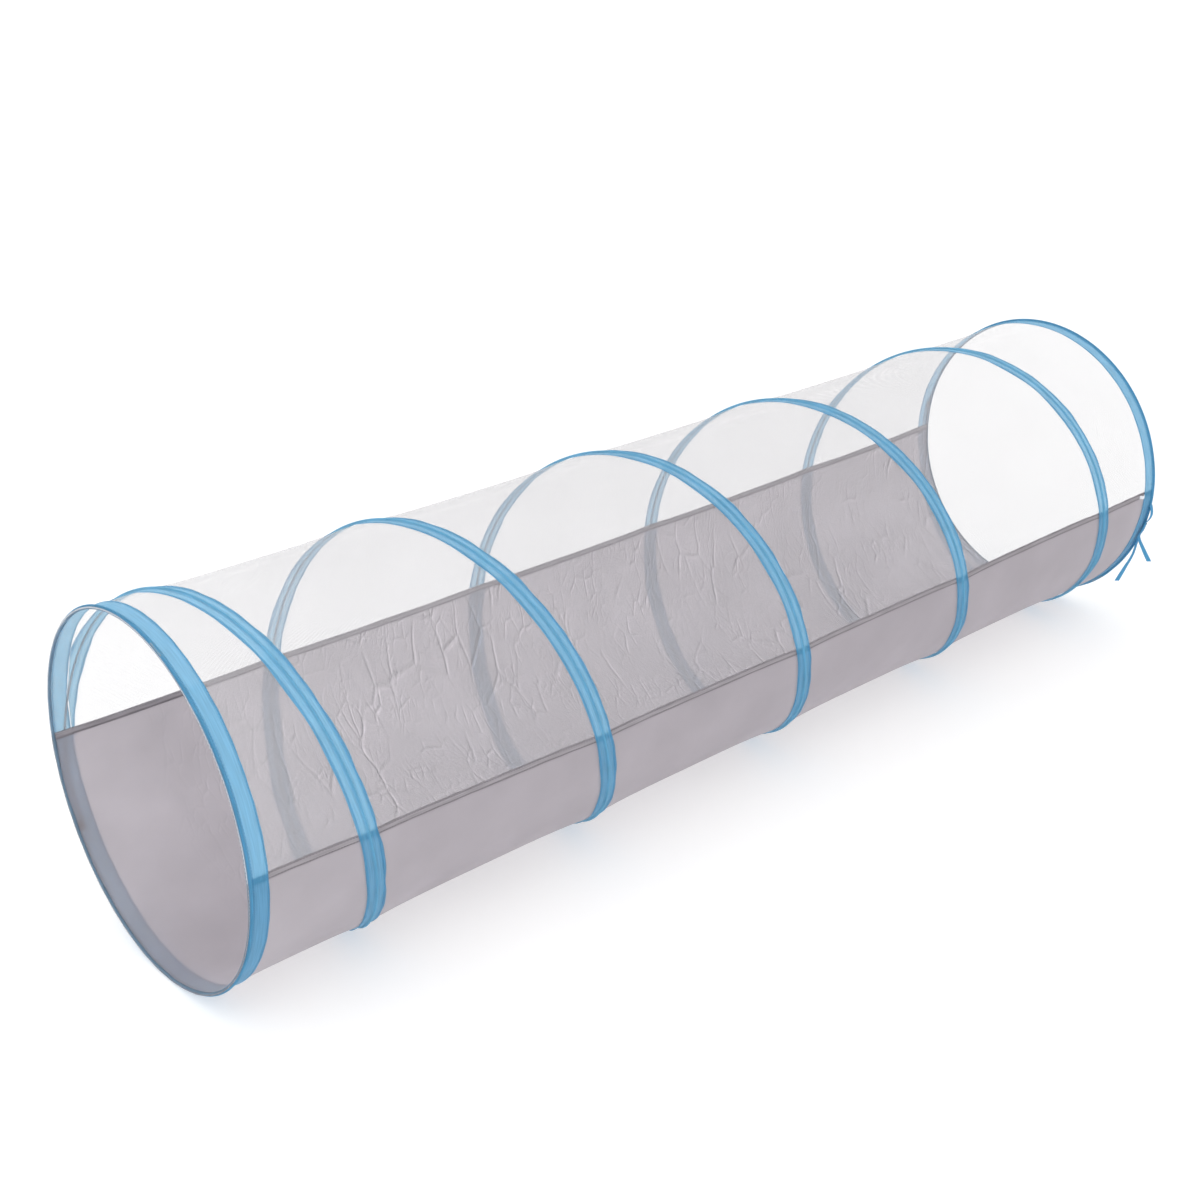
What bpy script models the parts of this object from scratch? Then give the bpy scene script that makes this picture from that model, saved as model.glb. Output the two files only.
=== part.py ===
"""Pop-up play tunnel: a sprung steel coil between two end rings, taped to a cloth tube.

X runs along the tunnel, front end at -X. Y runs across it, near side at -Y. Z = 0 is the floor.
Angles go round the tunnel from the near seam: 90 is the floor side, 180 the far seam, 270 the top.
"""

from math import ceil, cos, floor, pi, radians, sin

import bmesh
import bpy
from mathutils import Vector

# Overall sizes, metres
LENGTH = 1.80
HOOP_DIAMETER = 0.497
GAP = 0.0003
WELD = 0.000001

# The steel coil: regular in the middle, tighter over the last stretch before each end ring
PITCH = 0.375
LEAD_PITCH = 0.285
FRONT_LEAD_LENGTH = 0.196
REAR_LEAD_LENGTH = 0.125
LANE_EASE = 0.0065
WIRE_DIAMETER = 0.0025
WIRE_SIDES = 6

# How far each quarter turn strays along the tunnel, as shares of the pitch, from front to rear
STRAY_SHARES = (0, -0.026, -0.003, 0.013, -0.014, 0.001, 0.011, 0.031, -0.033, -0.06, -0.018, 0.065, 0)

# Every layer shares these flat facets round the tunnel, one of them centred on the floor
FACETS = 36
SLEEVE_FACETS_AWAY = 14

# Both end rings stand a little taller than the coil, and the front one a little narrower
FRONT_NARROWING_SHARE = 0.036
RING_RISE_SHARE = 0.013
RING_FADE = 0.68

# Cloth tube: net above the seams, woven polyester below, drawn in between the turns of the coil
SKIN_THICKNESS = 0.0005
WAIST = 0.0035
ROW_SPACE = 0.002
SEAM_WEB = 0.0004
NEAR_SEAM_DROP = 0.001
FAR_SEAM_DROP = 0.0024
SEAM_SAG = 0.007

# Seam binding, folded over both raw edges
BINDING_WIDTH = 0.009
BINDING_THICKNESS = 0.0004

# Woven tape that holds the wire against the cloth
TAPE_THICKNESS = 0.0005
COIL_TAPE_WIDTH = 0.028
END_TAPE_WIDTH = 0.028
INNER_HEM = 0.003
CREST_SHARE = 0.9
FOOT_SHARE = 2.8
SLANT_SHARE = 0.7

# Steel sleeve on the butt joint of each ring, and the double crimp that ties the coil to it
SLEEVE_WALL = 0.0004
SLEEVE_LENGTH = 0.024
BUTT_GAP = 0.001
CRIMP_LENGTH = 0.012
COIL_OVERHANG = 0.002
TUBE_SIDES = 8

# Tie ribbon on the rear ring, near side, and the loose loop where the near seam ends
RIBBON_WIDTH = 0.008
RIBBON_THICKNESS = 0.0006
LOOP_TOP_ANGLE = 5.5
LOOP_BOTTOM_ANGLE = 13.5
LOOP_RISE = 0.0055
LOOP_INSET = 0.005
FORK_ANGLE = 20.0
FORK_INSET = 0.010
LONG_END_DROP = 0.093
LONG_END_INWARD = 0.032
SHORT_END_DROP = 0.038
SHORT_END_OUTWARD = 0.025
SEAM_LOOP_WIDTH = 0.006
SEAM_LOOP_LENGTH = 0.012
SEAM_LOOP_RISE = 0.0028

# Sizes that follow from the ones above
STEP = 360 / FACETS
FLAT_SHARE = cos(radians(STEP / 2))
WIRE_RADIUS = WIRE_DIAMETER / 2
BINDING_LIFT = GAP + BINDING_THICKNESS
WIRE_LIFT = BINDING_LIFT + GAP + WIRE_RADIUS
CREST_LIFT = WIRE_LIFT + WIRE_RADIUS + GAP
RIDGE_LIFT = CREST_LIFT + TAPE_THICKNESS
SKIN_RADIUS = HOOP_DIAMETER / 2 - RIDGE_LIFT
FACET_WIDTH = 2 * SKIN_RADIUS * sin(radians(STEP / 2))
SLEEVE_RADIUS = WIRE_RADIUS + GAP + SLEEVE_WALL
SLEEVE_ROOM = GAP + SLEEVE_WALL
CREST_HALF = CREST_SHARE * WIRE_RADIUS
FOOT_HALF = FOOT_SHARE * WIRE_RADIUS
SLANT = SLANT_SHARE * TAPE_THICKNESS
SKIN_INSET = TAPE_THICKNESS + GAP
RING_INSET = SKIN_INSET + SLEEVE_RADIUS + SLEEVE_WALL / 8
LANE = RING_INSET + 2 * (FOOT_HALF + SLANT)
COIL_HALF = COIL_TAPE_WIDTH / 2
TAPE_JOINT = END_TAPE_WIDTH + GAP
AXIS_HEIGHT = FLAT_SHARE * (SKIN_RADIUS * (1 + RING_RISE_SHARE) + RIDGE_LIFT)

FRONT = -1
REAR = 1
LEADS = {FRONT: FRONT_LEAD_LENGTH, REAR: REAR_LEAD_LENGTH}


def clear_scene():
    for item in list(bpy.data.objects):
        bpy.data.objects.remove(item)


def linear(channel):
    share = channel / 255
    return share / 12.92 if share <= 0.04045 else ((share + 0.055) / 1.055) ** 2.4


def material(name, colour, roughness, metallic=0.0):
    made = bpy.data.materials.new(name)
    made.use_nodes = True
    shader = made.node_tree.nodes["Principled BSDF"]
    shader.inputs["Base Color"].default_value = [*map(linear, colour), 1]
    shader.inputs["Roughness"].default_value = roughness
    shader.inputs["Metallic"].default_value = metallic
    made.diffuse_color = [*map(linear, colour), 1]
    return made


def facet_degrees(width):
    """The angle that a width along one flat facet takes up."""
    return width / FACET_WIDTH * STEP


def ring_share(inset):
    """How far the cloth follows an end ring's shape: wholly under its tape, less further in."""
    return max(0.0, 1 - max(0.0, inset - END_TAPE_WIDTH) / RING_FADE) ** 2


def corner(angle, x, lift):
    """A point on a facet's corner line, at distance x from the front rim."""
    front = ring_share(x)
    rear = ring_share(LENGTH - x)
    across = SKIN_RADIUS * (1 - FRONT_NARROWING_SHARE * front)
    upright = SKIN_RADIUS * (1 + RING_RISE_SHARE * (front + rear))
    turn = radians(angle)
    y = -cos(turn) * (across + lift)
    z = AXIS_HEIGHT - sin(turn) * (upright + lift)
    return Vector((x - LENGTH / 2, y, z))


def point(angle, x, lift):
    """A point on the faceted tube, lift above the outer face of the cloth."""
    low = (floor(angle / STEP - 0.5) + 0.5) * STEP
    start = corner(low, x, lift)
    return start.lerp(corner(low + STEP, x, lift), (angle - low) / STEP)


def end_point(side, angle, inset, lift):
    """The same, by the angle along the coil and the distance in from one end's rim."""
    return point(side * angle, inset if side == FRONT else LENGTH - inset, lift)


# Angles along the coil are counted from its middle, where it crosses the near seam


def regular_angle(side):
    """How far the even coil runs to each side of the middle."""
    return (LENGTH / 2 - LEADS[side]) / PITCH * 360


def lane_angle(side):
    """Where the coil has come to lie beside the end ring."""
    return regular_angle(side) + (LEADS[side] - LANE + LANE_EASE) / LEAD_PITCH * 360


def crimp_angle(side):
    """The middle of the first whole facet beyond that."""
    return (ceil(lane_angle(side) / STEP - 0.5) + 1) * STEP


def sleeve_angle(side):
    return crimp_angle(side) - SLEEVE_FACETS_AWAY * STEP


def stray(angle):
    """How far the coil strays along the tunnel: a smooth curve through its quarter turns."""
    place = angle / 90 + (len(STRAY_SHARES) - 1) / 2
    low = floor(place)
    t = place - low
    near = [STRAY_SHARES[n] if 0 <= n < len(STRAY_SHARES) else 0 for n in range(low - 1, low + 3)]
    before, start, end, after = near
    slope = end - before
    bend = 2 * before - 5 * start + 4 * end - after
    twist = 3 * (start - end) + after - before
    return (start + t / 2 * (slope + t * (bend + t * twist))) * PITCH


def coil_inset(side, angle):
    """Distance from one rim to the coil, at an angle from its middle toward that end."""
    beyond = angle - regular_angle(side)
    regular = LENGTH / 2 - angle / 360 * PITCH - side * stray(side * angle)
    free = regular if beyond < 0 else LEADS[side] - beyond / 360 * LEAD_PITCH
    above = free - LANE
    if above > LANE_EASE:
        return free
    if above < -LANE_EASE:
        return LANE
    return LANE + (above + LANE_EASE) ** 2 / (4 * LANE_EASE)


def coil_x(angle):
    """Distance from the front rim to the coil, straight between facet corners."""
    low = (floor(angle / STEP - 0.5) + 0.5) * STEP
    ends = []
    for at in (low, low + STEP):
        ends.append(coil_inset(FRONT, -at) if at < 0 else LENGTH - coil_inset(REAR, at))
    return ends[0] + (ends[1] - ends[0]) * (angle - low) / STEP


def inset_on_facets(side, angle):
    x = coil_x(side * angle)
    return x if side == FRONT else LENGTH - x


def angle_where(side, inset):
    """The angle along the coil at which it lies this far in from the rim."""
    low = lane_angle(side) - 360
    high = lane_angle(side)
    for _ in range(48):
        middle = (low + high) / 2
        if inset_on_facets(side, middle) > inset:
            low = middle
        else:
            high = middle
    return (low + high) / 2


def corner_angles(low, high):
    """The facet corners strictly between two angles."""
    first = floor(low / STEP - 0.5) + 1
    found = []
    while (first + 0.5) * STEP < high - STEP / 1000:
        if (first + 0.5) * STEP > low + STEP / 1000:
            found.append((first + 0.5) * STEP)
        first += 1
    return found


def at_corners(angle, value):
    """A height that is set at facet corners, straight in between."""
    low = (floor(angle / STEP - 0.5) + 0.5) * STEP
    share = (angle - low) / STEP
    return value(low) * (1 - share) + value(low + STEP) * share


def seam_room(angle):
    """Extra height over a seam binding, at a facet corner."""
    past = angle % 180
    beside = min(past, 180 - past) < 0.75 * STEP
    return BINDING_THICKNESS + GAP if beside else 0.0


def finish(name, mesh, skin, parent):
    """Welds a mesh, faces it outward and makes it a named object."""
    bmesh.ops.remove_doubles(mesh, verts=mesh.verts, dist=WELD)
    bmesh.ops.dissolve_degenerate(mesh, edges=mesh.edges, dist=WELD)
    bmesh.ops.recalc_face_normals(mesh, faces=mesh.faces)
    data = bpy.data.meshes.new(name)
    mesh.to_mesh(data)
    mesh.free()
    data.materials.append(skin)
    made = bpy.data.objects.new(name, data)
    bpy.context.scene.collection.objects.link(made)
    made.parent = parent
    made.matrix_parent_inverse = parent.matrix_world.inverted()
    for face in data.polygons:
        face.use_smooth = True
    data.set_sharp_from_angle(angle=radians(38))
    return made


def shell(name, upper, lower, skin, parent, closed=False):
    """A sheet with thickness: two grids of points, one above the other, closed along every edge."""
    mesh = bmesh.new()
    grids = []
    for grid in (upper, lower):
        grids.append([[mesh.verts.new(p) for p in row] for row in grid])
    top, under = grids
    rows = len(top)
    wide = len(top[0])

    def quad(*corners):
        mesh.faces.new(corners)

    for r in range(rows if closed else rows - 1):
        n = (r + 1) % rows
        for c in range(wide - 1):
            quad(top[r][c], top[r][c + 1], top[n][c + 1], top[n][c])
            quad(under[r][c], under[n][c], under[n][c + 1], under[r][c + 1])
        quad(top[r][0], top[n][0], under[n][0], under[r][0])
        quad(top[r][-1], under[r][-1], under[n][-1], top[n][-1])
    if not closed:
        for r in (0, rows - 1):
            for c in range(wide - 1):
                quad(top[r][c], under[r][c], under[r][c + 1], top[r][c + 1])
    return finish(name, mesh, skin, parent)


def loft(name, sections, skin, parent, closed=False, cap=None):
    """A solid through like closed sections, with a cap at each end unless it closes on itself."""
    mesh = bmesh.new()
    loops = [[mesh.verts.new(p) for p in section] for section in sections]
    count = len(loops[0])
    for r in range(len(loops) if closed else len(loops) - 1):
        n = (r + 1) % len(loops)
        for c in range(count):
            d = (c + 1) % count
            mesh.faces.new((loops[r][c], loops[r][d], loops[n][d], loops[n][c]))
    if not closed:
        for loop in (loops[0], loops[-1]):
            for corners in cap or [range(count)]:
                face = mesh.faces.new([loop[c] for c in corners])
                bmesh.ops.triangulate(mesh, faces=[face])
    return finish(name, mesh, skin, parent)


def wire_section(angle, x, radius, sides):
    """A round section across the tunnel's facets, centred at the height of every wire."""
    found = []
    for n in range(sides):
        turn = 2 * pi * (n + 0.5) / sides
        found.append(point(angle, x + cos(turn) * radius, WIRE_LIFT + sin(turn) * radius))
    return found


def cut_to(profile, edge, keep):
    """A profile ended at an edge: what lies past it is drawn back to where it crosses."""
    cut = profile[0] if keep * (profile[0][0] - edge) >= 0 else profile[-1]
    for (x0, h0), (x1, h1) in zip(profile, profile[1:]):
        if (x0 - edge) * (x1 - edge) < 0:
            cut = (edge, h0 + (h1 - h0) * (edge - x0) / (x1 - x0))
    return [p if keep * (p[0] - edge) >= 0 else cut for p in profile]


def ridge(centre, base, room, spread, rise):
    """The four points with which tape rises over a wire, from its foot to its crest and down."""
    foot = FOOT_HALF + spread + room
    crest = CREST_HALF + spread + room
    top = CREST_LIFT + rise + room
    return [
        (centre - foot, base),
        (centre - crest, top),
        (centre + crest, top),
        (centre + foot, base),
    ]


# Cloth tube


def seam_angle(seam, x):
    """Where a seam runs: a little below the tunnel's widest line, and lowest in the middle."""
    sag = SEAM_SAG * sin(pi * x / LENGTH)
    if seam == 180:
        return seam - facet_degrees(FAR_SEAM_DROP + sag)
    return seam + facet_degrees(NEAR_SEAM_DROP + sag)


def row_places(angle, low, high):
    """Where the cloth has its rows along the tunnel: tape edges, and two drawn-in rows between."""
    centres = []
    turns = ceil(max(lane_angle(FRONT), lane_angle(REAR)) / 360)
    for turn in range(-turns - 1, turns + 1):
        starts = coil_x(low + 360 * turn)
        ends = coil_x(high + 360 * turn)
        if ends > END_TAPE_WIDTH and starts < LENGTH - END_TAPE_WIDTH:
            centres.append(coil_x(angle + 360 * turn))
    edges = [SKIN_INSET, END_TAPE_WIDTH]
    for centre in centres:
        edges += [centre - COIL_HALF, centre + COIL_HALF]
    for n in range(1, len(edges)):
        edges[n] = max(edges[n], edges[n - 1] + ROW_SPACE)
    edges += [LENGTH - END_TAPE_WIDTH, LENGTH - SKIN_INSET]
    for n in range(len(edges) - 2, -1, -1):
        edges[n] = min(edges[n], edges[n + 1] - ROW_SPACE)
    places = [(edges[0], 0.0)]
    for n in range(1, len(edges) - 1, 2):
        span = edges[n + 1] - edges[n]
        drawn = max(0.0, span - 3 * ROW_SPACE)
        dip = WAIST * min(1.0, drawn / (PITCH - COIL_TAPE_WIDTH))
        places.append((edges[n], 0.0))
        places.append((edges[n] + span / 3, dip))
        places.append((edges[n] + span * 2 / 3, dip))
        places.append((edges[n + 1], 0.0))
    places.append((edges[-1], 0.0))
    return places


def half_skin(name, low, high, skin, parent):
    """Half of the cloth tube, from one seam to the other."""
    open_seam = facet_degrees(SEAM_WEB / 2 + GAP)
    outer = []
    inner = []
    for angle in (low, *corner_angles(low, high), high):
        at_seam = angle in (low, high)
        toward = open_seam if angle == low else -open_seam
        row_angle = seam_angle(angle, LENGTH / 2) if at_seam else angle
        column = []
        for x, dip in row_places(row_angle, low, high):
            at = seam_angle(angle, x) + toward if at_seam else angle
            column.append((at, x, dip))
        outer.append([point(at, x, -dip) for at, x, dip in column])
        inner.append([point(at, x, -dip - SKIN_THICKNESS) for at, x, dip in column])
    return shell(name, outer, inner, skin, parent)


def seam_binding(name, seam, low, high, skin, parent):
    """Tape over both edges of the cloth: a leaf outside, a leaf inside and the fold between."""
    leaf = facet_degrees(BINDING_WIDTH / 2)
    web = facet_degrees(SEAM_WEB / 2)
    under = -SKIN_THICKNESS - GAP
    outline = [
        (-leaf, GAP),
        (-leaf, BINDING_LIFT),
        (leaf, BINDING_LIFT),
        (leaf, GAP),
        (web, GAP),
        (web, under),
        (leaf, under),
        (leaf, under - BINDING_THICKNESS),
        (-leaf, under - BINDING_THICKNESS),
        (-leaf, under),
        (-web, under),
        (-web, GAP),
    ]
    # Which of the outline's corners make the triangles that close each end
    outer_leaf = [(1, 2, 3), (1, 3, 4), (1, 4, 11), (1, 11, 0)]
    fold = [(4, 5, 10), (4, 10, 11)]
    inner_leaf = [(8, 9, 10), (8, 10, 5), (8, 5, 6), (8, 6, 7)]
    sections = []
    for x, dip in row_places(seam_angle(seam, LENGTH / 2), low, high):
        at = seam_angle(seam, x)
        sections.append([point(at + turn, x, lift - dip) for turn, lift in outline])
    return loft(name, sections, skin, parent, cap=[*outer_leaf, *fold, *inner_leaf])


# The coil and its tape


def coil_end_angle(side):
    return crimp_angle(side) + facet_degrees(CRIMP_LENGTH / 2 + COIL_OVERHANG)


def coil_wire(skin, parent):
    """One unbroken helical tube, its last stretch at each end lying beside the end ring."""
    start = -coil_end_angle(FRONT)
    end = coil_end_angle(REAR)
    angles = [start, *corner_angles(start, end), end]
    sections = [wire_section(a, coil_x(a), WIRE_RADIUS, WIRE_SIDES) for a in angles]
    centres = [point(a, coil_x(a), WIRE_LIFT) for a in angles]
    least = LENGTH
    for n, here in enumerate(centres):
        for there in centres[n + FACETS // 2 :]:
            least = min(least, (there - here).length)
    print(f"coil_wire: least gap to itself {(least - WIRE_DIAMETER) * 1000:.1f} mm")
    return loft("coil_wire", sections, skin, parent)


def coil_tape(skin, parent):
    """Tape over the coil, a ridge between two flat edges, cut to meet the end tapes."""
    front_marks = (-COIL_HALF, -FOOT_HALF - SLANT, -CREST_HALF - SLANT, -CREST_HALF)
    marks = [*front_marks, *[-m for m in front_marks]]
    first = -angle_where(FRONT, TAPE_JOINT - COIL_HALF + ROW_SPACE)
    last = angle_where(REAR, TAPE_JOINT - COIL_HALF + ROW_SPACE)
    angles = [first, *corner_angles(first, last), last]
    for side in (FRONT, REAR):
        for mark in marks:
            cut = side * angle_where(side, TAPE_JOINT - mark)
            if first < cut < last:
                angles.append(cut)
    outer = []
    inner = []
    for angle in sorted(angles):
        x = coil_x(angle)
        base = GAP + at_corners(angle, seam_room)
        over = ridge(x, base + TAPE_THICKNESS, 0, SLANT, TAPE_THICKNESS)
        under = ridge(x, base, 0, 0, 0)
        edge = TAPE_JOINT if angle < 0 else LENGTH - TAPE_JOINT
        for profile, high, rows in ((over, TAPE_THICKNESS, outer), (under, 0, inner)):
            whole = [(x - COIL_HALF, base + high), *profile, (x + COIL_HALF, base + high)]
            whole = cut_to(whole, edge, 1 if angle < 0 else -1)
            rows.append([point(angle, at, lift) for at, lift in whole])
    return shell("coil_casing", outer, inner, skin, parent)


# End rings


def end_tape_angles(side):
    """Facet corners once round an end, with extra ones where the coil comes out from under it."""
    first = crimp_angle(side) + STEP / 2
    angles = [first - n * STEP for n in range(FACETS)]
    for mark in (FOOT_HALF + SLANT, CREST_HALF + SLANT, CREST_HALF):
        for offset in (-mark, mark):
            angles.append(angle_where(side, END_TAPE_WIDTH + offset))
    return sorted(angles, reverse=True)


def sleeve_room(side, angle):
    """How much more room the tape leaves over a sleeve or crimp, at a facet corner."""
    on_crimp = abs(angle - crimp_angle(side)) < 0.75 * STEP
    on_sleeve = abs(angle - sleeve_angle(side)) < 0.75 * STEP
    return (SLEEVE_ROOM if on_crimp or on_sleeve else 0.0), on_crimp


def end_tape(name, side, skin, parent):
    """Tape round an end: outer leaf, ridge over the coil, ridge over the ring, rim, inner hem."""
    rows = [[], []]
    for angle in end_tape_angles(side):
        room, on_crimp = sleeve_room(side, angle)
        seam = at_corners(angle, seam_room)
        coil = inset_on_facets(side, angle)
        covered = coil - FOOT_HALF - SLANT < END_TAPE_WIDTH
        coil_room = room if on_crimp else 0.0
        for layer, thick in enumerate((TAPE_THICKNESS, 0.0)):
            spread = SLANT if layer == 0 else 0.0
            base = GAP + seam + thick
            hem = -SKIN_THICKNESS - GAP - seam - thick
            rim = TAPE_THICKNESS - thick
            by_ring = ridge(RING_INSET, base, room, spread, thick)
            first_foot = by_ring[3][0]
            if covered:
                by_coil = ridge(coil, base, coil_room, spread, thick)
            else:
                free = END_TAPE_WIDTH - first_foot
                by_coil = [(first_foot + free * n / 5, base) for n in range(1, 5)]
            if on_crimp:
                crest = by_coil[1][1]
                by_coil[0] = ((by_coil[0][0] + first_foot) / 2, crest)
                by_ring[3] = (by_coil[0][0] - ROW_SPACE / 4, crest)
            leaf = [*reversed(by_coil), *reversed(by_ring[1:])]
            leaf = cut_to([(max(END_TAPE_WIDTH, leaf[0][0] + GAP), base), *leaf], END_TAPE_WIDTH, -1)
            profile = [
                *leaf,
                (rim, WIRE_LIFT + thick / 2),
                (rim, hem),
                (INNER_HEM, hem),
            ]
            rows[layer].append([end_point(side, angle, at, lift) for at, lift in profile])
    return shell(name, rows[0], rows[1], skin, parent, closed=True)


def ring_wire(name, side, skin, parent):
    """The ring at one end: a loop of wire whose two ends meet inside a sleeve."""
    half = facet_degrees(BUTT_GAP / 2)
    start = sleeve_angle(side) + half
    end = sleeve_angle(side) + 360 - half
    sections = []
    for angle in (start, *corner_angles(start, end), end):
        x = RING_INSET if side == FRONT else LENGTH - RING_INSET
        sections.append(wire_section(side * angle, x, WIRE_RADIUS, WIRE_SIDES))
    return loft(name, sections, skin, parent)


def ring_sleeve(name, side, skin, parent):
    """A drawn steel tube over the ring's butt joint."""
    half = facet_degrees(SLEEVE_LENGTH / 2)
    x = RING_INSET if side == FRONT else LENGTH - RING_INSET
    bore = WIRE_RADIUS + GAP
    loops = []
    for radius, turn in ((SLEEVE_RADIUS, -half), (SLEEVE_RADIUS, half), (bore, half), (bore, -half)):
        at = side * (sleeve_angle(side) + turn)
        loops.append(wire_section(at, x, radius, TUBE_SIDES))
    return loft(name, loops, skin, parent, closed=True)


def bar(name, side, insets, radius, half, skin, parent):
    """A straight bar along the crimp's facet, as wide as the span between two insets."""
    low, high = insets
    sections = []
    for turn in (-half, half):
        section = []
        for n in range(2 * TUBE_SIDES):
            way = 2 * pi * (n + 0.5) / (2 * TUBE_SIDES)
            centre = high if cos(way) > 0 else low
            at = centre + cos(way) * radius
            lift = WIRE_LIFT + sin(way) * radius
            section.append(end_point(side, crimp_angle(side) + turn, at, lift))
        sections.append(section)
    return loft(name, sections, skin, parent)


def coil_crimp(name, side, skin, parent):
    """A double crimp: one block with a bore for the ring and a bore for the coil's end."""
    half = facet_degrees(CRIMP_LENGTH / 2)
    made = bar(name, side, (RING_INSET, LANE), SLEEVE_RADIUS, half, skin, parent)
    for inset in (RING_INSET, LANE):
        bore = WIRE_RADIUS + GAP
        cutter = bar("bore", side, (inset, inset), bore, 2 * half, skin, parent)
        cutter.hide_render = True
        cutter.display_type = "WIRE"
        cut = made.modifiers.new("bore", "BOOLEAN")
        cut.operation = "DIFFERENCE"
        cut.object = cutter
        with bpy.context.temp_override(object=made):
            bpy.ops.object.modifier_apply(modifier=cut.name)
        bpy.data.objects.remove(cutter)
    return made


# Ribbons


def ribbon(name, centres, widths, thickness, skin, parent):
    """A flat ribbon through a run of points, with a width vector at each."""
    over = []
    under = []
    for n, (centre, wide) in enumerate(zip(centres, widths)):
        ahead = centres[min(n + 1, len(centres) - 1)]
        behind = centres[max(n - 1, 0)]
        up = (ahead - behind).cross(wide).normalized() * (thickness / 2)
        over.append([centre - wide / 2 + up, centre + wide / 2 + up])
        under.append([centre - wide / 2 - up, centre + wide / 2 - up])
    return shell(name, over, under, skin, parent)


def rear_tie(skin, parent):
    """A ribbon looped through the rear tape on the near side, with two loose tails."""
    along = Vector((RIBBON_WIDTH, 0, 0))
    seat = RIDGE_LIFT + GAP + RIBBON_THICKNESS / 2
    layer = RIBBON_THICKNESS + GAP

    def on_tape(angle, inset, lift):
        return point(angle, LENGTH - inset, lift)

    rise_shares = (0.0, 0.7, 1.0, 0.7, 0.0)
    arch = []
    for n, share in enumerate(rise_shares):
        angle = LOOP_TOP_ANGLE + (LOOP_BOTTOM_ANGLE - LOOP_TOP_ANGLE) * n / 4
        arch.append(on_tape(angle, LOOP_INSET, seat + LOOP_RISE * share))
    ribbon("tie_loop", arch, [along] * len(arch), RIBBON_THICKNESS, skin, parent)

    gap_angle = facet_degrees(RIBBON_THICKNESS + GAP)
    start = LOOP_BOTTOM_ANGLE + gap_angle
    bends = [start, *corner_angles(start, FORK_ANGLE), FORK_ANGLE]
    turned = Vector((RIBBON_WIDTH * 0.74, -RIBBON_WIDTH * 0.67, 0))
    for name, lift in (("tie_tail_long", seat), ("tie_tail_short", seat + layer)):
        run = []
        for angle in bends:
            share = (angle - start) / (FORK_ANGLE - start)
            inset = LOOP_INSET + (FORK_INSET - LOOP_INSET) * share
            run.append(on_tape(angle, inset, lift + 2 * GAP * share))
        fork = run[-1]
        seated = len(run)
        if name == "tie_tail_long":
            run.append(fork + Vector((0, LONG_END_INWARD * 0.22, -LONG_END_DROP * 0.37)))
            run.append(fork + Vector((0, LONG_END_INWARD * 0.6, -LONG_END_DROP * 0.68)))
            run.append(fork + Vector((0, LONG_END_INWARD, -LONG_END_DROP)))
        else:
            run.append(fork + Vector((0, -SHORT_END_OUTWARD * 0.45, -SHORT_END_DROP * 0.5)))
            run.append(fork + Vector((0, -SHORT_END_OUTWARD, -SHORT_END_DROP)))
        widths = [along] * seated + [(along + turned) / 2]
        widths += [turned] * (len(run) - len(widths))
        ribbon(name, run, widths, RIBBON_THICKNESS, skin, parent)


def seam_end_loop(skin, parent):
    """The loose loop of binding that stands where the near seam meets the rear tape."""
    wide = Vector((0, 0, SEAM_LOOP_WIDTH))
    rise_shares = (0.0, 0.8, 1.0, 0.8, 0.0)
    seat = BINDING_LIFT + GAP + RIBBON_THICKNESS / 2
    run = []
    for n, share in enumerate(rise_shares):
        inset = TAPE_JOINT + RIBBON_THICKNESS + SEAM_LOOP_LENGTH * n / 4
        x = LENGTH - inset
        run.append(point(seam_angle(0, x), x, seat + SEAM_LOOP_RISE * share))
    return ribbon("seam_end_loop", run, [wide] * len(run), RIBBON_THICKNESS, skin, parent)


def body(name, x):
    """An empty on the tunnel's axis that carries one end's pieces."""
    made = bpy.data.objects.new(name, None)
    made.location = (x - LENGTH / 2, 0, AXIS_HEIGHT)
    bpy.context.scene.collection.objects.link(made)
    bpy.context.view_layer.update()
    return made


def build():
    clear_scene()
    steel = material("spring_steel", (150, 152, 156), 0.35, 1.0)
    blue = material("blue_tape", (118, 180, 212), 0.5)
    net = material("white_net", (233, 233, 237), 0.8)
    grey = material("grey_polyester", (178, 172, 178), 0.75)
    dark = material("grey_binding", (150, 143, 150), 0.8)

    front = body("front_body", 0)
    rear = body("rear_body", LENGTH)

    half_skin("lower_panel", 0, 180, grey, front)
    half_skin("upper_mesh", 180, 360, net, front)
    seam_binding("near_seam_binding", 0, 0, 180, dark, front)
    seam_binding("far_seam_binding", 180, 180, 360, dark, front)
    coil_wire(steel, front)
    coil_tape(blue, front)
    for word, side, parent in (("front", FRONT, front), ("rear", REAR, rear)):
        ring_wire(f"{word}_ring_wire", side, steel, parent)
        ring_sleeve(f"{word}_ring_sleeve", side, steel, parent)
        coil_crimp(f"{word}_coil_crimp", side, steel, parent)
        end_tape(f"{word}_ring_casing", side, blue, parent)
    rear_tie(blue, rear)
    seam_end_loop(net, rear)


build()
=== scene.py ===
# %% [markdown]
# # A pop-up play tunnel
# A spring steel coil, sewn under blue tape to a thin cloth tube, holds the tunnel open. The solid
# model gives its sizes and the way it folds. This lesson makes what the eye sees: fine net, creased
# polyester, sheer tape, stitching and the ribbon that ties the folded tunnel.

from functools import partial, reduce
from math import ceil, cos, pi, radians, sin, sqrt

import bmesh
import bpy
import numpy as np
from mathutils import Matrix, Vector


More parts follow.
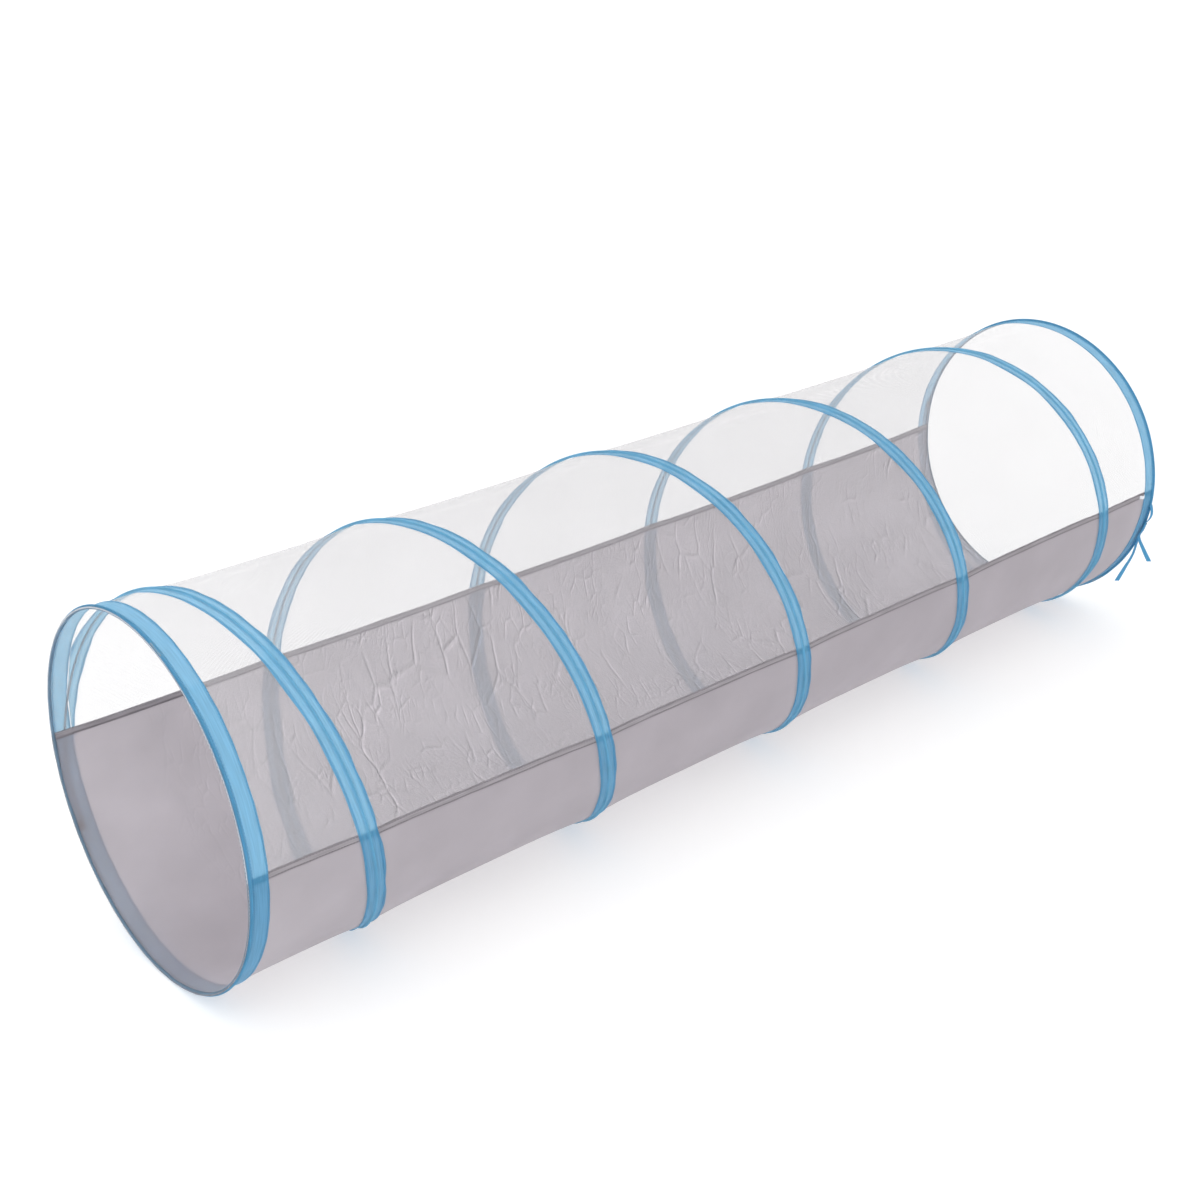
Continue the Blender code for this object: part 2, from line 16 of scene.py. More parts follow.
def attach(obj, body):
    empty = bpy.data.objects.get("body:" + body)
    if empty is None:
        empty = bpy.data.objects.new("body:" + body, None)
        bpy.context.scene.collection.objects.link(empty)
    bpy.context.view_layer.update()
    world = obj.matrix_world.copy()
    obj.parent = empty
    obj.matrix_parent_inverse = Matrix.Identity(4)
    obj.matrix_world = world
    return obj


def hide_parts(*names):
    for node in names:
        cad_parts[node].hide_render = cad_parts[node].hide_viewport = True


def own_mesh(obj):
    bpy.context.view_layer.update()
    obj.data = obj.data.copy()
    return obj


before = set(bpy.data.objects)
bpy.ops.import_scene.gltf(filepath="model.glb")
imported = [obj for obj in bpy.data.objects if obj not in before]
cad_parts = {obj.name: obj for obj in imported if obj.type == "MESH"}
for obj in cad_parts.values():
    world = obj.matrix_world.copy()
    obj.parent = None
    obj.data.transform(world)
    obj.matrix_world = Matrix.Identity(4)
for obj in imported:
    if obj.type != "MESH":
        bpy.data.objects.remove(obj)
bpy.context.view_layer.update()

# %% [markdown]
# ## Sizes
# These are the sizes that the solid model was made with, in metres. Each angle is counted round the
# tunnel from the near seam: 90 degrees is the floor, 180 the far seam and 270 the top. The distance x
# is counted from the front rim.

# %% Sizes of the tunnel
LENGTH = 1.80
HOOP_DIAMETER = 0.497
GAP = 0.0003
PITCH = 0.375
LEAD_PITCH = 0.285
FRONT_LEAD_LENGTH = 0.196
REAR_LEAD_LENGTH = 0.125
LANE_EASE = 0.0065
WIRE_RADIUS = 0.00125
STRAY_SHARES = (0, -0.026, -0.003, 0.013, -0.014, 0.001, 0.011, 0.031, -0.033, -0.06, -0.018, 0.065, 0)
STEP = 10
SLEEVE_FACETS_AWAY = 14
FRONT_NARROWING_SHARE = 0.036
RING_RISE_SHARE = 0.013
RING_FADE = 0.68
SKIN_THICKNESS = 0.0005
WAIST = 0.0035
SEAM_WEB = 0.0004
NEAR_SEAM_DROP = 0.001
FAR_SEAM_DROP = 0.0024
SEAM_SAG = 0.007
BINDING_WIDTH = 0.009
BINDING_THICKNESS = 0.0004
TAPE_THICKNESS = 0.0005
TAPE_WIDTH = 0.028
INNER_HEM = 0.003
SLEEVE_WALL = 0.0004

# %% Sizes that follow from them
FLAT_SHARE = cos(radians(STEP / 2))
BINDING_LIFT = GAP + BINDING_THICKNESS
WIRE_LIFT = BINDING_LIFT + GAP + WIRE_RADIUS
CREST_LIFT = WIRE_LIFT + WIRE_RADIUS + GAP
RIDGE_LIFT = CREST_LIFT + TAPE_THICKNESS
SKIN_RADIUS = HOOP_DIAMETER / 2 - RIDGE_LIFT
FACET_WIDTH = 2 * SKIN_RADIUS * sin(radians(STEP / 2))
SLEEVE_RADIUS = WIRE_RADIUS + GAP + SLEEVE_WALL
SLEEVE_ROOM = GAP + SLEEVE_WALL
FOOT_HALF = 2.8 * WIRE_RADIUS
SKIN_INSET = TAPE_THICKNESS + GAP
RING_INSET = SKIN_INSET + SLEEVE_RADIUS + SLEEVE_WALL / 8
LANE = RING_INSET + 2 * (FOOT_HALF + 0.7 * TAPE_THICKNESS)
TAPE_JOINT = TAPE_WIDTH + GAP
AXIS_HEIGHT = FLAT_SHARE * (SKIN_RADIUS * (1 + RING_RISE_SHARE) + RIDGE_LIFT)
FRONT, REAR = -1, 1
LEADS = {FRONT: FRONT_LEAD_LENGTH, REAR: REAR_LEAD_LENGTH}

# %% [markdown]
# ## Camera
# The camera comes first, because everything else is judged through it. It stands in front of the
# opening and above it, to the left, with a 54 mm lens on a square picture, and leans half a degree.

# %% Camera
CAMERA_PLACE = (-1.7267, -1.7512, 1.3494)
CAMERA_YAW = 48.1784
CAMERA_PITCH = 24.2419
CAMERA_ROLL = -0.5678
CAMERA_LENS = 53.591
SENSOR_WIDTH = 36


def add_to_scene(name, data):
    made = bpy.data.objects.new(name, data)
    bpy.context.scene.collection.objects.link(made)
    return made


yaw, pitch, roll = radians(CAMERA_YAW), radians(CAMERA_PITCH), radians(CAMERA_ROLL)
looking = Vector((cos(yaw) * cos(pitch), sin(yaw) * cos(pitch), -sin(pitch)))
level = looking.cross(Vector((0, 0, 1))).normalized()
upright = level.cross(looking)
camera_axes = (level * cos(roll) + upright * sin(roll), upright * cos(roll) - level * sin(roll), -looking)
camera = add_to_scene("camera", bpy.data.cameras.new("camera"))
camera.data.lens = CAMERA_LENS
camera.data.sensor_width = SENSOR_WIDTH
camera.location = CAMERA_PLACE
camera.rotation_mode = "QUATERNION"
camera.rotation_quaternion = Matrix(camera_axes).transposed().to_quaternion()
bpy.context.scene.camera = camera
print("camera", round((Vector(CAMERA_PLACE) - Vector((0, 0, AXIS_HEIGHT))).length, 2), "m from the middle")

# %% [markdown]
# ## Floor and light
# A tunnel of sheer white net shows only by what is behind it, so the room is kept plain: a pale floor
# that glows a little, as on a light table, an even white surround and one broad, weak lamp. Strong
# lamps would throw hard shadows that the photograph doesn't have. Many thin layers lie behind each
# other, so rays may pass more faces than usual.

# %% Floor and light
FLOOR_HALF = 14.0
FLOOR_DROP = 0.0003
FLOOR_GREY = (0.68, 0.68, 0.68, 1)
FLOOR_GLOW = 0.42
WHITE = (1, 1, 1, 1)


def feed(tree, node, inputs):
    """Gives a node its inputs: plain values, or outputs to link. A node stands for its first output."""
    for key, value in inputs.items():
        if isinstance(value, bpy.types.Node):
            value = value.outputs[0]
        if isinstance(value, bpy.types.NodeSocket):
            tree.links.new(value, node.inputs[key])
        else:
            node.inputs[key].default_value = value
    return node


def plain_finish(name, inputs):
    made = bpy.data.materials.new(name)
    made.use_nodes = True
    tree = made.node_tree
    return made, tree, feed(tree, tree.nodes["Principled BSDF"], inputs)


floor_finish, _, _ = plain_finish("pale_floor", {
    "Base Color": FLOOR_GREY, "Roughness": 0.9, "Specular IOR Level": 0.1,
    "Emission Color": WHITE, "Emission Strength": FLOOR_GLOW,
})
floor_mesh = bpy.data.meshes.new("floor")
square = ((-1, -1), (1, -1), (1, 1), (-1, 1))
floor_corners = [(x * FLOOR_HALF, y * FLOOR_HALF, -FLOOR_DROP) for x, y in square]
floor_mesh.from_pydata(floor_corners, [], [(0, 1, 2, 3)])
floor_mesh.materials.append(floor_finish)
add_to_scene("floor", floor_mesh)

world = bpy.data.worlds.new("studio")
world.use_nodes = True
feed(world.node_tree, world.node_tree.nodes["Background"], {"Color": WHITE, "Strength": 1.0})
bpy.context.scene.world = world

# %% Lamp and light paths
LAMP_SIZE = (3.6, 2.4)
LAMP_PLACE = (-1.9, -0.9, 2.5)
LAMP_POWER = 22

lamp_data = bpy.data.lights.new("softbox", "AREA")
lamp_data.shape = "RECTANGLE"
lamp_data.size, lamp_data.size_y = LAMP_SIZE
lamp_data.energy = LAMP_POWER
lamp = add_to_scene("softbox", lamp_data)
lamp.location = LAMP_PLACE
lamp.rotation_mode = "QUATERNION"
lamp.rotation_quaternion = (Vector((0, 0, AXIS_HEIGHT)) - lamp.location).to_track_quat("-Z", "Y")
bpy.context.scene.view_settings.view_transform = "Standard"
bpy.context.scene.cycles.transparent_max_bounces = 32
bpy.context.scene.cycles.max_bounces = 16
bpy.context.scene.cycles.diffuse_bounces = 8
print("one lamp of", LAMP_POWER, "W over a floor", 2 * FLOOR_HALF, "m wide")

# %% [markdown]
# ## The shape of the tunnel
# The hoops aren't quite round where the end rings stand a little taller than the coil. Plain cylinders
# would miss that. One function holds the shape instead, so every layer of cloth, tape and thread sits
# at its own height above it. The tunnel here is smooth, where the solid model has flats.

# %% Points on the tunnel


def ring_share(inset):
    return np.clip(1 - np.clip(inset - TAPE_WIDTH, 0, None) / RING_FADE, 0, None) ** 2


def tube(angle, x, lift):
    """Points at an angle, a distance from the front rim and a height above the cloth."""
    angle, x, lift = np.broadcast_arrays(*(np.asarray(v, float) for v in (angle, x, lift)))
    front, rear = ring_share(x), ring_share(LENGTH - x)
    across = SKIN_RADIUS * (1 - FRONT_NARROWING_SHARE * front)
    upright = SKIN_RADIUS * (1 + RING_RISE_SHARE * (front + rear))
    turn = np.radians(angle)
    y = -np.cos(turn) * (across + lift) * FLAT_SHARE
    z = AXIS_HEIGHT - np.sin(turn) * (upright + lift) * FLAT_SHARE
    return np.stack([x - LENGTH / 2, y, z], axis=-1)


def degrees_for(width):
    """The angle that a width takes up round the tunnel."""
    return width / FACET_WIDTH * STEP


def ease(value):
    value = np.clip(value, 0, 1)
    return value * value * (3 - 2 * value)


# %% [markdown]
# ## The path of the coil
# Each turn leans back by one pitch. A real coil strays from an even winding by a centimetre or so, and
# it closes up before it lies beside each end ring. The strays are given every quarter turn, and a
# smooth curve joins them.

# %% Path of the coil
COIL_TAIL = 0.008
HALVINGS = 48


def regular_angle(side):
    return (LENGTH / 2 - LEADS[side]) / PITCH * 360


def lane_angle(side):
    return regular_angle(side) + (LEADS[side] - LANE + LANE_EASE) / LEAD_PITCH * 360


def crimp_angle(side):
    return (ceil(lane_angle(side) / STEP - 0.5) + 1) * STEP


def smooth_between(a, b, c, d, t):
    """A smooth curve from b to c that also minds their neighbours a and d."""
    return b + t / 2 * (c - a + t * (2 * a - 5 * b + 4 * c - d + t * (3 * (b - c) + d - a)))


def stray(angle):
    place = np.asarray(angle, float) / 90 + (len(STRAY_SHARES) - 1) / 2
    low = np.clip(np.floor(place), -2, len(STRAY_SHARES)).astype(int)
    none_beyond = np.pad(np.array(STRAY_SHARES, float), 3)
    near = [none_beyond[low + n] for n in (2, 3, 4, 5)]
    return smooth_between(*near, np.clip(place - low, 0, 1)) * PITCH


def coil_inset(side, angle):
    """How far in from one rim the coil lies, by its angle from the middle toward that rim."""
    angle = np.asarray(angle, float)
    beyond = angle - regular_angle(side)
    regular = LENGTH / 2 - angle / 360 * PITCH - side * stray(side * angle)
    free = np.where(beyond < 0, regular, LEADS[side] - beyond / 360 * LEAD_PITCH)
    above = free - LANE
    eased = LANE + (above + LANE_EASE) ** 2 / (4 * LANE_EASE)
    return np.where(above > LANE_EASE, free, np.where(above < -LANE_EASE, LANE, eased))


def coil_x(angle):
    angle = np.asarray(angle, float)
    return np.where(angle < 0, coil_inset(FRONT, -angle), LENGTH - coil_inset(REAR, angle))


def angle_where(side, inset):
    """The angle at which the coil is this far in from the rim, found by halving a turn."""
    low, high = lane_angle(side) - 360, lane_angle(side)
    for _ in range(HALVINGS):
        middle = (low + high) / 2
        low, high = (middle, high) if coil_inset(side, middle) > inset else (low, middle)
    return (low + high) / 2


COIL_END = {side: crimp_angle(side) + degrees_for(COIL_TAIL) for side in (FRONT, REAR)}
print("the coil makes", round((COIL_END[FRONT] + COIL_END[REAR]) / 360, 2), "turns")

# %% [markdown]
# ## Sheets from grids
# Cloth and tape are thin sheets. A plane bent by modifiers would do for a plain tube, but its hems and
# seams would be hard to place. So each sheet is a grid of points with a UV map in metres, on which weave,
# hems and creases keep their real scale. A Solidify modifier gives it its thickness inward.

# %% A sheet of cloth from a grid of points


def cells_of(grid):
    """The four corners of each cell of a grid, in order round the cell."""
    above, below = grid[:-1], grid[1:]
    corners = np.stack([above[:, :-1], above[:, 1:], below[:, 1:], below[:, :-1]], axis=2)
    return corners.reshape(-1, 4, *grid.shape[2:])


def smooth_piece(name, points, faces, corner_uv, finish):
    """A smooth mesh with one finish, and its place on the cloth at each corner of a face."""
    mesh = bpy.data.meshes.new(name)
    mesh.from_pydata(points, [], faces)
    layer = mesh.uv_layers.new(name="cloth")
    layer.data.foreach_set("uv", np.ravel(corner_uv).astype(np.float32))
    mesh.polygons.foreach_set("use_smooth", np.ones(len(mesh.polygons), bool))
    mesh.materials.append(finish)
    mesh.update()
    return add_to_scene(name, mesh)


def sheet_object(name, points, uv, thickness, finish, closed=False):
    """A sheet over a grid of points, whose faces turn away from the tunnel's axis."""
    index = np.arange(points[..., 0].size).reshape(points.shape[:2])
    if closed:
        index = np.vstack([index, index[:1]])
    faces, corner_uv = cells_of(index), cells_of(uv)
    flat = points.reshape(-1, 3)
    a, b, _, d = flat[faces[0]]
    outward = a - np.array([a[0], 0, AXIS_HEIGHT])
    if np.dot(np.cross(b - a, d - a), outward) < 0:
        faces, corner_uv = faces[:, ::-1], corner_uv[:, ::-1]
    made = smooth_piece(name, flat, faces, corner_uv, finish)
    wall = made.modifiers.new("thickness", "SOLIDIFY")
    wall.thickness = thickness
    wall.offset = -1
    print(name, "of", len(faces), "faces")
    return made


# %% [markdown]
# ## Cloth finishes
# Thin cloth sends some light back, lets some glow through its threads and lets some straight through
# the gaps between them. Those three shares make a finish. A sheet has two faces, and light meets both,
# so each face must send back and pass on its part of what the whole sheet should.

# %% What each face of a sheet does
GLOW = 0.6


def face_colours(back, through):
    """Colours for the faces of a sheet that sends back and glows through these shares of the light."""
    reflected, passed = [], []
    for sheet_back, sheet_through in zip(back, through):
        face_back = sheet_back / (1 + sheet_through)
        reflected.append(face_back / (1 - GLOW))
        passed.append(sqrt(sheet_through * (1 - face_back * face_back)) / GLOW)
    return reflected, passed


print("a sheet that halves light into 0.25 back and 0.25 through:", face_colours((0.25,), (0.25,)))

# %% [markdown]
# Every finish here is a tree of small nodes. They could be placed by hand, but a helper that makes a
# node and links it in one line is easier to repeat. The weave is two crossed waves.

# %% Helpers for trees of nodes


def add_node(tree, kind, inputs=(), **settings):
    made = tree.nodes.new(kind)
    for key, value in settings.items():
        setattr(made, key, value)
    return feed(tree, made, dict(inputs))


def maths(tree, operation, *values, **settings):
    return add_node(tree, "ShaderNodeMath", enumerate(values), operation=operation, **settings)


def vector_maths(tree, operation, *values):
    return add_node(tree, "ShaderNodeVectorMath", enumerate(values), operation=operation)


def sum_of(tree, *terms):
    """Adds up products: each term is a list of nodes or numbers."""
    products = [reduce(partial(maths, tree, "MULTIPLY"), term) for term in terms]
    return reduce(partial(maths, tree, "ADD"), products)


def moved_range(tree, value, low, high, to_low=0.0, to_high=1.0):
    """A value moved from one range to another, and kept inside it."""
    ends = {"From Min": low, "From Max": high, "To Min": to_low, "To Max": to_high}
    return add_node(tree, "ShaderNodeMapRange", {"Value": value, **ends})


def noise(tree, place, scale, detail):
    return add_node(tree, "ShaderNodeTexNoise", {"Vector": place, "Scale": scale, "Detail": detail})


def waves(tree, place, scale, direction):
    made = add_node(tree, "ShaderNodeTexWave", {"Vector": place, "Scale": scale}, bands_direction=direction)
    return made.outputs["Fac"]


def woven(tree, place, pitch, turn=0.0):
    """Two crossed sets of threads, 1 on a thread and 0 between, at a turn to the cloth's edge."""
    turned = add_node(tree, "ShaderNodeMapping", {"Vector": place, "Rotation": (0, 0, radians(turn))})
    return maths(tree, "MAXIMUM", *(waves(tree, turned, 2 * pi / (20 * pitch), way) for way in ("X", "Y")))


# %% [markdown]
# Along tape the three shares change from hem to hem, so ramps across its width hold them. A picture of
# the cloth could do that too, but a ramp stays sharp at any distance. A slow noise keeps the tone from
# being quite even, and on tape it is drawn out into streaks along the threads.

# %% The shared recipe for cloth
EVEN_TONE = 0.04
CLOUDS = (9, 9, 1)
STREAKS = (24, 620, 1)
WEAVE_BUMP = 0.35
DULL = {"Specular IOR Level": 0.2, "Sheen Weight": 0.1}


def ramp_of(tree, place, stops):
    """A colour ramp across the cloth's width: stops are (metres, colour)."""
    whole = stops[-1][0]
    ramp = add_node(tree, "ShaderNodeValToRGB", {"Fac": maths(tree, "DIVIDE", place, whole)})
    entries = ramp.color_ramp.elements
    entries.remove(entries[-1])
    for n, (distance, colour) in enumerate(stops):
        entry = entries[0] if n == 0 else entries.new(distance / whole)
        entry.position = distance / whole
        entry.color = (*colour, 1)
    return ramp


def cloth_finish(name, stops, pitch, height, rough=0.7, streak=0.0, turn=0.0):
    """Cloth from stops (metres across, share back, share through, share open); one stop is plain."""
    made, tree, shader = plain_finish(name, {"Roughness": rough, **DULL})
    place = add_node(tree, "ShaderNodeUVMap", uv_map="cloth")
    apart = add_node(tree, "ShaderNodeSeparateXYZ", {0: place})
    stretch = add_node(tree, "ShaderNodeMapping", {"Vector": place, "Scale": STREAKS if streak else CLOUDS})
    spread = streak or EVEN_TONE
    band = moved_range(tree, noise(tree, stretch, 1, 4), 0.3, 0.7, 1 - spread, 1 + spread)
    back = add_node(tree, "ShaderNodeVectorMath", {"Scale": band}, operation="SCALE")
    beyond = add_node(tree, "ShaderNodeVectorMath", {"Scale": band}, operation="SCALE")
    weave = woven(tree, place, pitch, turn)
    bump = add_node(tree, "ShaderNodeBump", {"Strength": WEAVE_BUMP, "Distance": height, "Height": weave})
    feed(tree, shader, {"Base Color": back, "Normal": bump})
    through = add_node(tree, "ShaderNodeBsdfTranslucent", {"Color": beyond})
    lit = add_node(tree, "ShaderNodeMixShader", {"Fac": GLOW, 1: shader, 2: through})
    gaps = add_node(tree, "ShaderNodeMixShader", {1: add_node(tree, "ShaderNodeBsdfTransparent"), 2: lit})
    feed(tree, tree.nodes["Material Output"], {"Surface": gaps})
    faces = [(at, *face_colours(sent, passed), [1 - sqrt(gap)] * 3) for at, sent, passed, gap in stops]
    for n, (node, key) in enumerate(((back, 0), (beyond, 0), (gaps, "Fac")), 1):
        if len(stops) > 1:
            value = ramp_of(tree, apart.outputs["Y"], [(face[0], face[n]) for face in faces])
        else:
            value = faces[0][n][0] if node is gaps else faces[0][n]
        feed(tree, node, {key: value})
    return {"material": made, "tree": tree, "place": place, "apart": apart, "band": band,
            "back": back, "beyond": beyond, "gaps": gaps, "weave": weave, "bump": bump}


# %% [markdown]
# ## Tape, ribbon and binding
# The tape is a sheer sky blue. Where it is folded double at its hems it is deeper and lets less light
# through, and a deeper strip along one side of the wire is painted shade beside its ridge. At the rims a
# white edge on the fold is a painted highlight. The grey binding has two leaves, one outside and one
# inside, each darker where its edges are sewn down.

# %% Finishes for tape, ribbon and binding
BLUE = ((0.055, 0.240, 0.415), (0.170, 0.335, 0.420), 0.09)
RING_BLUE = ((0.048, 0.215, 0.380), (0.140, 0.290, 0.380), 0.07)
DEEP_BLUE = ((0.045, 0.195, 0.355), (0.115, 0.255, 0.345), 0.05)
HEM_BLUE = ((0.042, 0.190, 0.345), (0.090, 0.220, 0.315), 0.03)
RIM_BLUE = ((0.120, 0.180, 0.245), (0.080, 0.130, 0.180), 0.05)
# A painted highlight: the pale band along the fold at each rim.
RIM_PAINTED_HIGHLIGHT = ((0.50, 0.52, 0.56), (0.25, 0.26, 0.28), 0.02)
RIBBON_BLUE = ((0.07, 0.25, 0.44), (0.02, 0.08, 0.13), 0)
GREY = ((0.320, 0.300, 0.320), (0.16, 0.15, 0.16), 0)
DARK_GREY = ((0.205, 0.188, 0.205), (0.11, 0.10, 0.11), 0)
HEM = 0.0036
EASE_WIDTH = 0.0004
TAPE_HALF = TAPE_WIDTH / 2
RIM = TAPE_WIDTH
LEAF_STARTS = (0.0004, 0.0199)
TAPE_CLOTH = {"pitch": 0.0008, "height": 0.0001, "rough": 0.5, "streak": 0.10}
RIBBON_CLOTH = {"pitch": 0.0009, "height": 0.0002, "rough": 0.6, "streak": 0.10}
BINDING_CLOTH = {"pitch": 0.0010, "height": 0.00015, "rough": 0.75, "streak": 0.16}

hem_stops = [(0.0, *HEM_BLUE), (HEM, *HEM_BLUE)]
coil_stops = [
    *hem_stops, (HEM + EASE_WIDTH, *BLUE),
    # The deeper strip just past the middle, on one flank of the wire's ridge, is painted shade.
    (TAPE_HALF + 0.0022, *BLUE), (TAPE_HALF + 0.0030, *DEEP_BLUE), (TAPE_HALF + 0.0040, *BLUE),
    (TAPE_WIDTH - HEM - EASE_WIDTH, *BLUE), (TAPE_WIDTH - HEM, *HEM_BLUE), (TAPE_WIDTH, *HEM_BLUE),
]
ring_stops = [
    *hem_stops, (HEM + EASE_WIDTH, *RING_BLUE), (RIM - 0.0072, *RING_BLUE),
    (RIM - 0.0060, *HEM_BLUE), (RIM - 0.0042, *HEM_BLUE), (RIM - 0.0012, *DEEP_BLUE),
    # The pale band on the fold at the rim is a painted highlight.
    (RIM + 0.0014, *RIM_BLUE), (RIM + 0.0017, *RIM_PAINTED_HIGHLIGHT), (RIM + 0.0030, *RIM_PAINTED_HIGHLIGHT),
    (RIM + 0.0034, *RIM_BLUE), (0.045, *RIM_BLUE),
]
binding_stops = []
for leaf_start in LEAF_STARTS:
    for past, grey in ((0, DARK_GREY), (0.0012, DARK_GREY), (0.0018, GREY),
                       (0.0072, GREY), (0.0078, DARK_GREY), (0.0090, DARK_GREY)):
        binding_stops.append((leaf_start + past, *grey))
coil_tape_finish = cloth_finish("sheer_blue_tape", coil_stops, **TAPE_CLOTH)["material"]
ring_tape_finish = cloth_finish("sheer_blue_end_tape", ring_stops, **TAPE_CLOTH)["material"]
ribbon_finish = cloth_finish("blue_ribbon", [(0, *RIBBON_BLUE)], **RIBBON_CLOTH)["material"]
binding_finish = cloth_finish("grey_binding", binding_stops, **BINDING_CLOTH)["material"]
print(len(coil_stops), "stops across the coil's tape and", len(ring_stops), "across an end tape")

# %% [markdown]
# ## Net
# The net is a fine tulle, whose threads cross on the slant. Modelled thread by thread it would need
# millions of faces, so its holes are in its finish: where no thread lies, light passes straight through.
# Its threads are far finer than they are apart, and every few threads one is heavier.

# %% Finish for the net
NET_WHITE = ((0.410, 0.400, 0.413), (0.200, 0.195, 0.201), 0)
NET_SLANT = 45
NET_CLOTH = {"pitch": 0.0012, "height": 0.0001, "rough": 0.8, "turn": NET_SLANT}
HEAVY_PITCH = 0.0043

net_parts = cloth_finish("white_net", [(0, *NET_WHITE)], **NET_CLOTH)
net_tree = net_parts["tree"]
threads = moved_range(net_tree, net_parts["weave"], 0.78, 0.97, 0.06, 0.41)
heavy_weave = woven(net_tree, net_parts["place"], HEAVY_PITCH, NET_SLANT)
heavier = moved_range(net_tree, heavy_weave, 0.6, 1.0, 0.85, 1.25)
feed(net_tree, net_parts["gaps"], {"Fac": maths(net_tree, "MULTIPLY", threads, heavier, use_clamp=True)})
net_finish = net_parts["material"]
print("the net's threads are", NET_CLOTH["pitch"] * 1000, "mm apart")

# %% [markdown]
# ## Polyester
# The polyester was folded small in its packet. The creases that stayed run together in forks, so they
# are the borders between the cells of a Voronoi pattern, bent a little and broken up by slow noise. The
# pattern is read twice, a millimetre or two apart. Where the two readings differ, painted light is put
# on one side of a crease and painted shade on the other, and the crease lines get painted shade. The
# part near the front and the near side hang smooth.

# %% Creases as borders of cells
PANEL_GREY = ((0.240, 0.223, 0.237), (0.246, 0.228, 0.245), 0)
CREASE_STRETCH = (1.45, 0.70, 1.0)
CREASE_BEND = (0.040, 0.040, 0.0)
CREASE_SHIFT = (0.0017, -0.0009, 0.0)
CREASE_SCALES = ((17, 0.075, 0.9), (36, 0.110, 0.7), (70, 0.160, 0.4))

panel_parts = cloth_finish("grey_polyester", [(0, *PANEL_GREY)], pitch=0.0007, height=0.00008)
panel_tree, panel_place = panel_parts["tree"], panel_parts["place"]


def cell_borders(tree, place, scale, fade):
    """1 on the border between two cells, fading to 0 a little way in."""
    cells = add_node(tree, "ShaderNodeTexVoronoi", {"Vector": place, "Scale": scale},
                     feature="DISTANCE_TO_EDGE", voronoi_dimensions="2D")
    return moved_range(tree, cells.outputs["Distance"], 0.0, fade, 1.0, 0.0)


bends = noise(panel_tree, panel_place, 7, 3).outputs["Color"]
centred = vector_maths(panel_tree, "ADD", bends, (-0.5, -0.5, -0.5))
stretched = vector_maths(panel_tree, "MULTIPLY", panel_place, CREASE_STRETCH)
bent = vector_maths(panel_tree, "MULTIPLY_ADD", centred, CREASE_BEND, stretched)
moved = vector_maths(panel_tree, "ADD", bent, CREASE_SHIFT)
heights, painted_side_terms = [], []
for n, (scale, fade, depth) in enumerate(CREASE_SCALES):
    shown = moved_range(panel_tree, noise(panel_tree, panel_place, 8 + 7 * n, 2), 0.45, 0.64)
    here, beside = (cell_borders(panel_tree, place, scale, fade) for place in (bent, moved))
    heights.append([here, shown, depth])
    painted_side_terms += [[here, shown, depth], [beside, shown, -depth]]
creased, painted_crease_sides = sum_of(panel_tree, *heights), sum_of(panel_tree, *painted_side_terms)
print("creases of", len(CREASE_SCALES), "sizes")

# %% Creases where they show
# Painted light and shade on the two sides of each crease, and painted shade in the crease lines, as shares
# of the colour.
CREASE_PAINTED_LIGHT_AND_SHADE = 0.80
CREASE_PAINTED_SHADE = -0.06
CREASE_RISE = 0.0012

far_from_front = moved_range(panel_tree, panel_parts["apart"].outputs["X"], 0.12, 0.45)
on_far_side = moved_range(panel_tree, panel_parts["apart"].outputs["Y"], 0.20, 0.32)
where = maths(panel_tree, "MULTIPLY", far_from_front, on_far_side)
# The random tone, plus painted crease light and shade, multiplied into the polyester's colour and glow where
# creases show.
tone_and_painted_crease_shade = sum_of(panel_tree, [panel_parts["band"]],
               [painted_crease_sides, where, CREASE_PAINTED_LIGHT_AND_SHADE], [creased, where, CREASE_PAINTED_SHADE])
raised = add_node(panel_tree, "ShaderNodeBump", {
    "Strength": 1.0, "Distance": CREASE_RISE, "Height": maths(panel_tree, "MULTIPLY", creased, where),
})
feed(panel_tree, panel_parts["back"], {"Scale": tone_and_painted_crease_shade})
feed(panel_tree, panel_parts["beyond"], {"Scale": tone_and_painted_crease_shade})
feed(panel_tree, panel_parts["bump"], {"Normal": raised})
panel_finish = panel_parts["material"]

# %% [markdown]
# ## Steel and thread
# The wire is plain bright steel, whose roughness changes finely from place to place. Thread is twisted,
# which a fine slanting wave shows.

# %% Finishes for steel and thread
STEEL = (0.42, 0.43, 0.45)
STEEL_ROUGHNESS = 0.35
FINE_SCALE = 900
TWIST_RISE = 0.0001


def object_place(tree):
    return add_node(tree, "ShaderNodeTexCoord").outputs["Object"]


def thread_finish(name, colour):
    made, tree, shader = plain_finish(name, {"Base Color": (*colour, 1), "Roughness": 0.6})
    twist = waves(tree, object_place(tree), FINE_SCALE, "DIAGONAL")
    bump = add_node(tree, "ShaderNodeBump", {"Height": twist, "Distance": TWIST_RISE})
    feed(tree, shader, {"Normal": bump})
    return made


bright = {"Metallic": 1.0, "Base Color": (*STEEL, 1)}
steel_finish, steel_tree, steel_shader = plain_finish("spring_steel", bright)
grain = noise(steel_tree, object_place(steel_tree), FINE_SCALE, 2)
worn = moved_range(steel_tree, grain, 0, 1, STEEL_ROUGHNESS * 0.8, STEEL_ROUGHNESS * 1.2)
feed(steel_tree, steel_shader, {"Roughness": worn})
blue_thread = thread_finish("blue_thread", (0.075, 0.30, 0.52))
grey_thread = thread_finish("grey_thread", (0.20, 0.18, 0.21))
white_thread = thread_finish("white_thread", (0.78, 0.80, 0.84))

# %% [markdown]
# ## Folding
# On the real tunnel the cloth crumples flat between the end rings as the rear ring is pushed toward
# the front one. A cloth simulation could show that at one pose only. Every soft piece between the
# rings moves with the front end and keeps a mesh of its own.


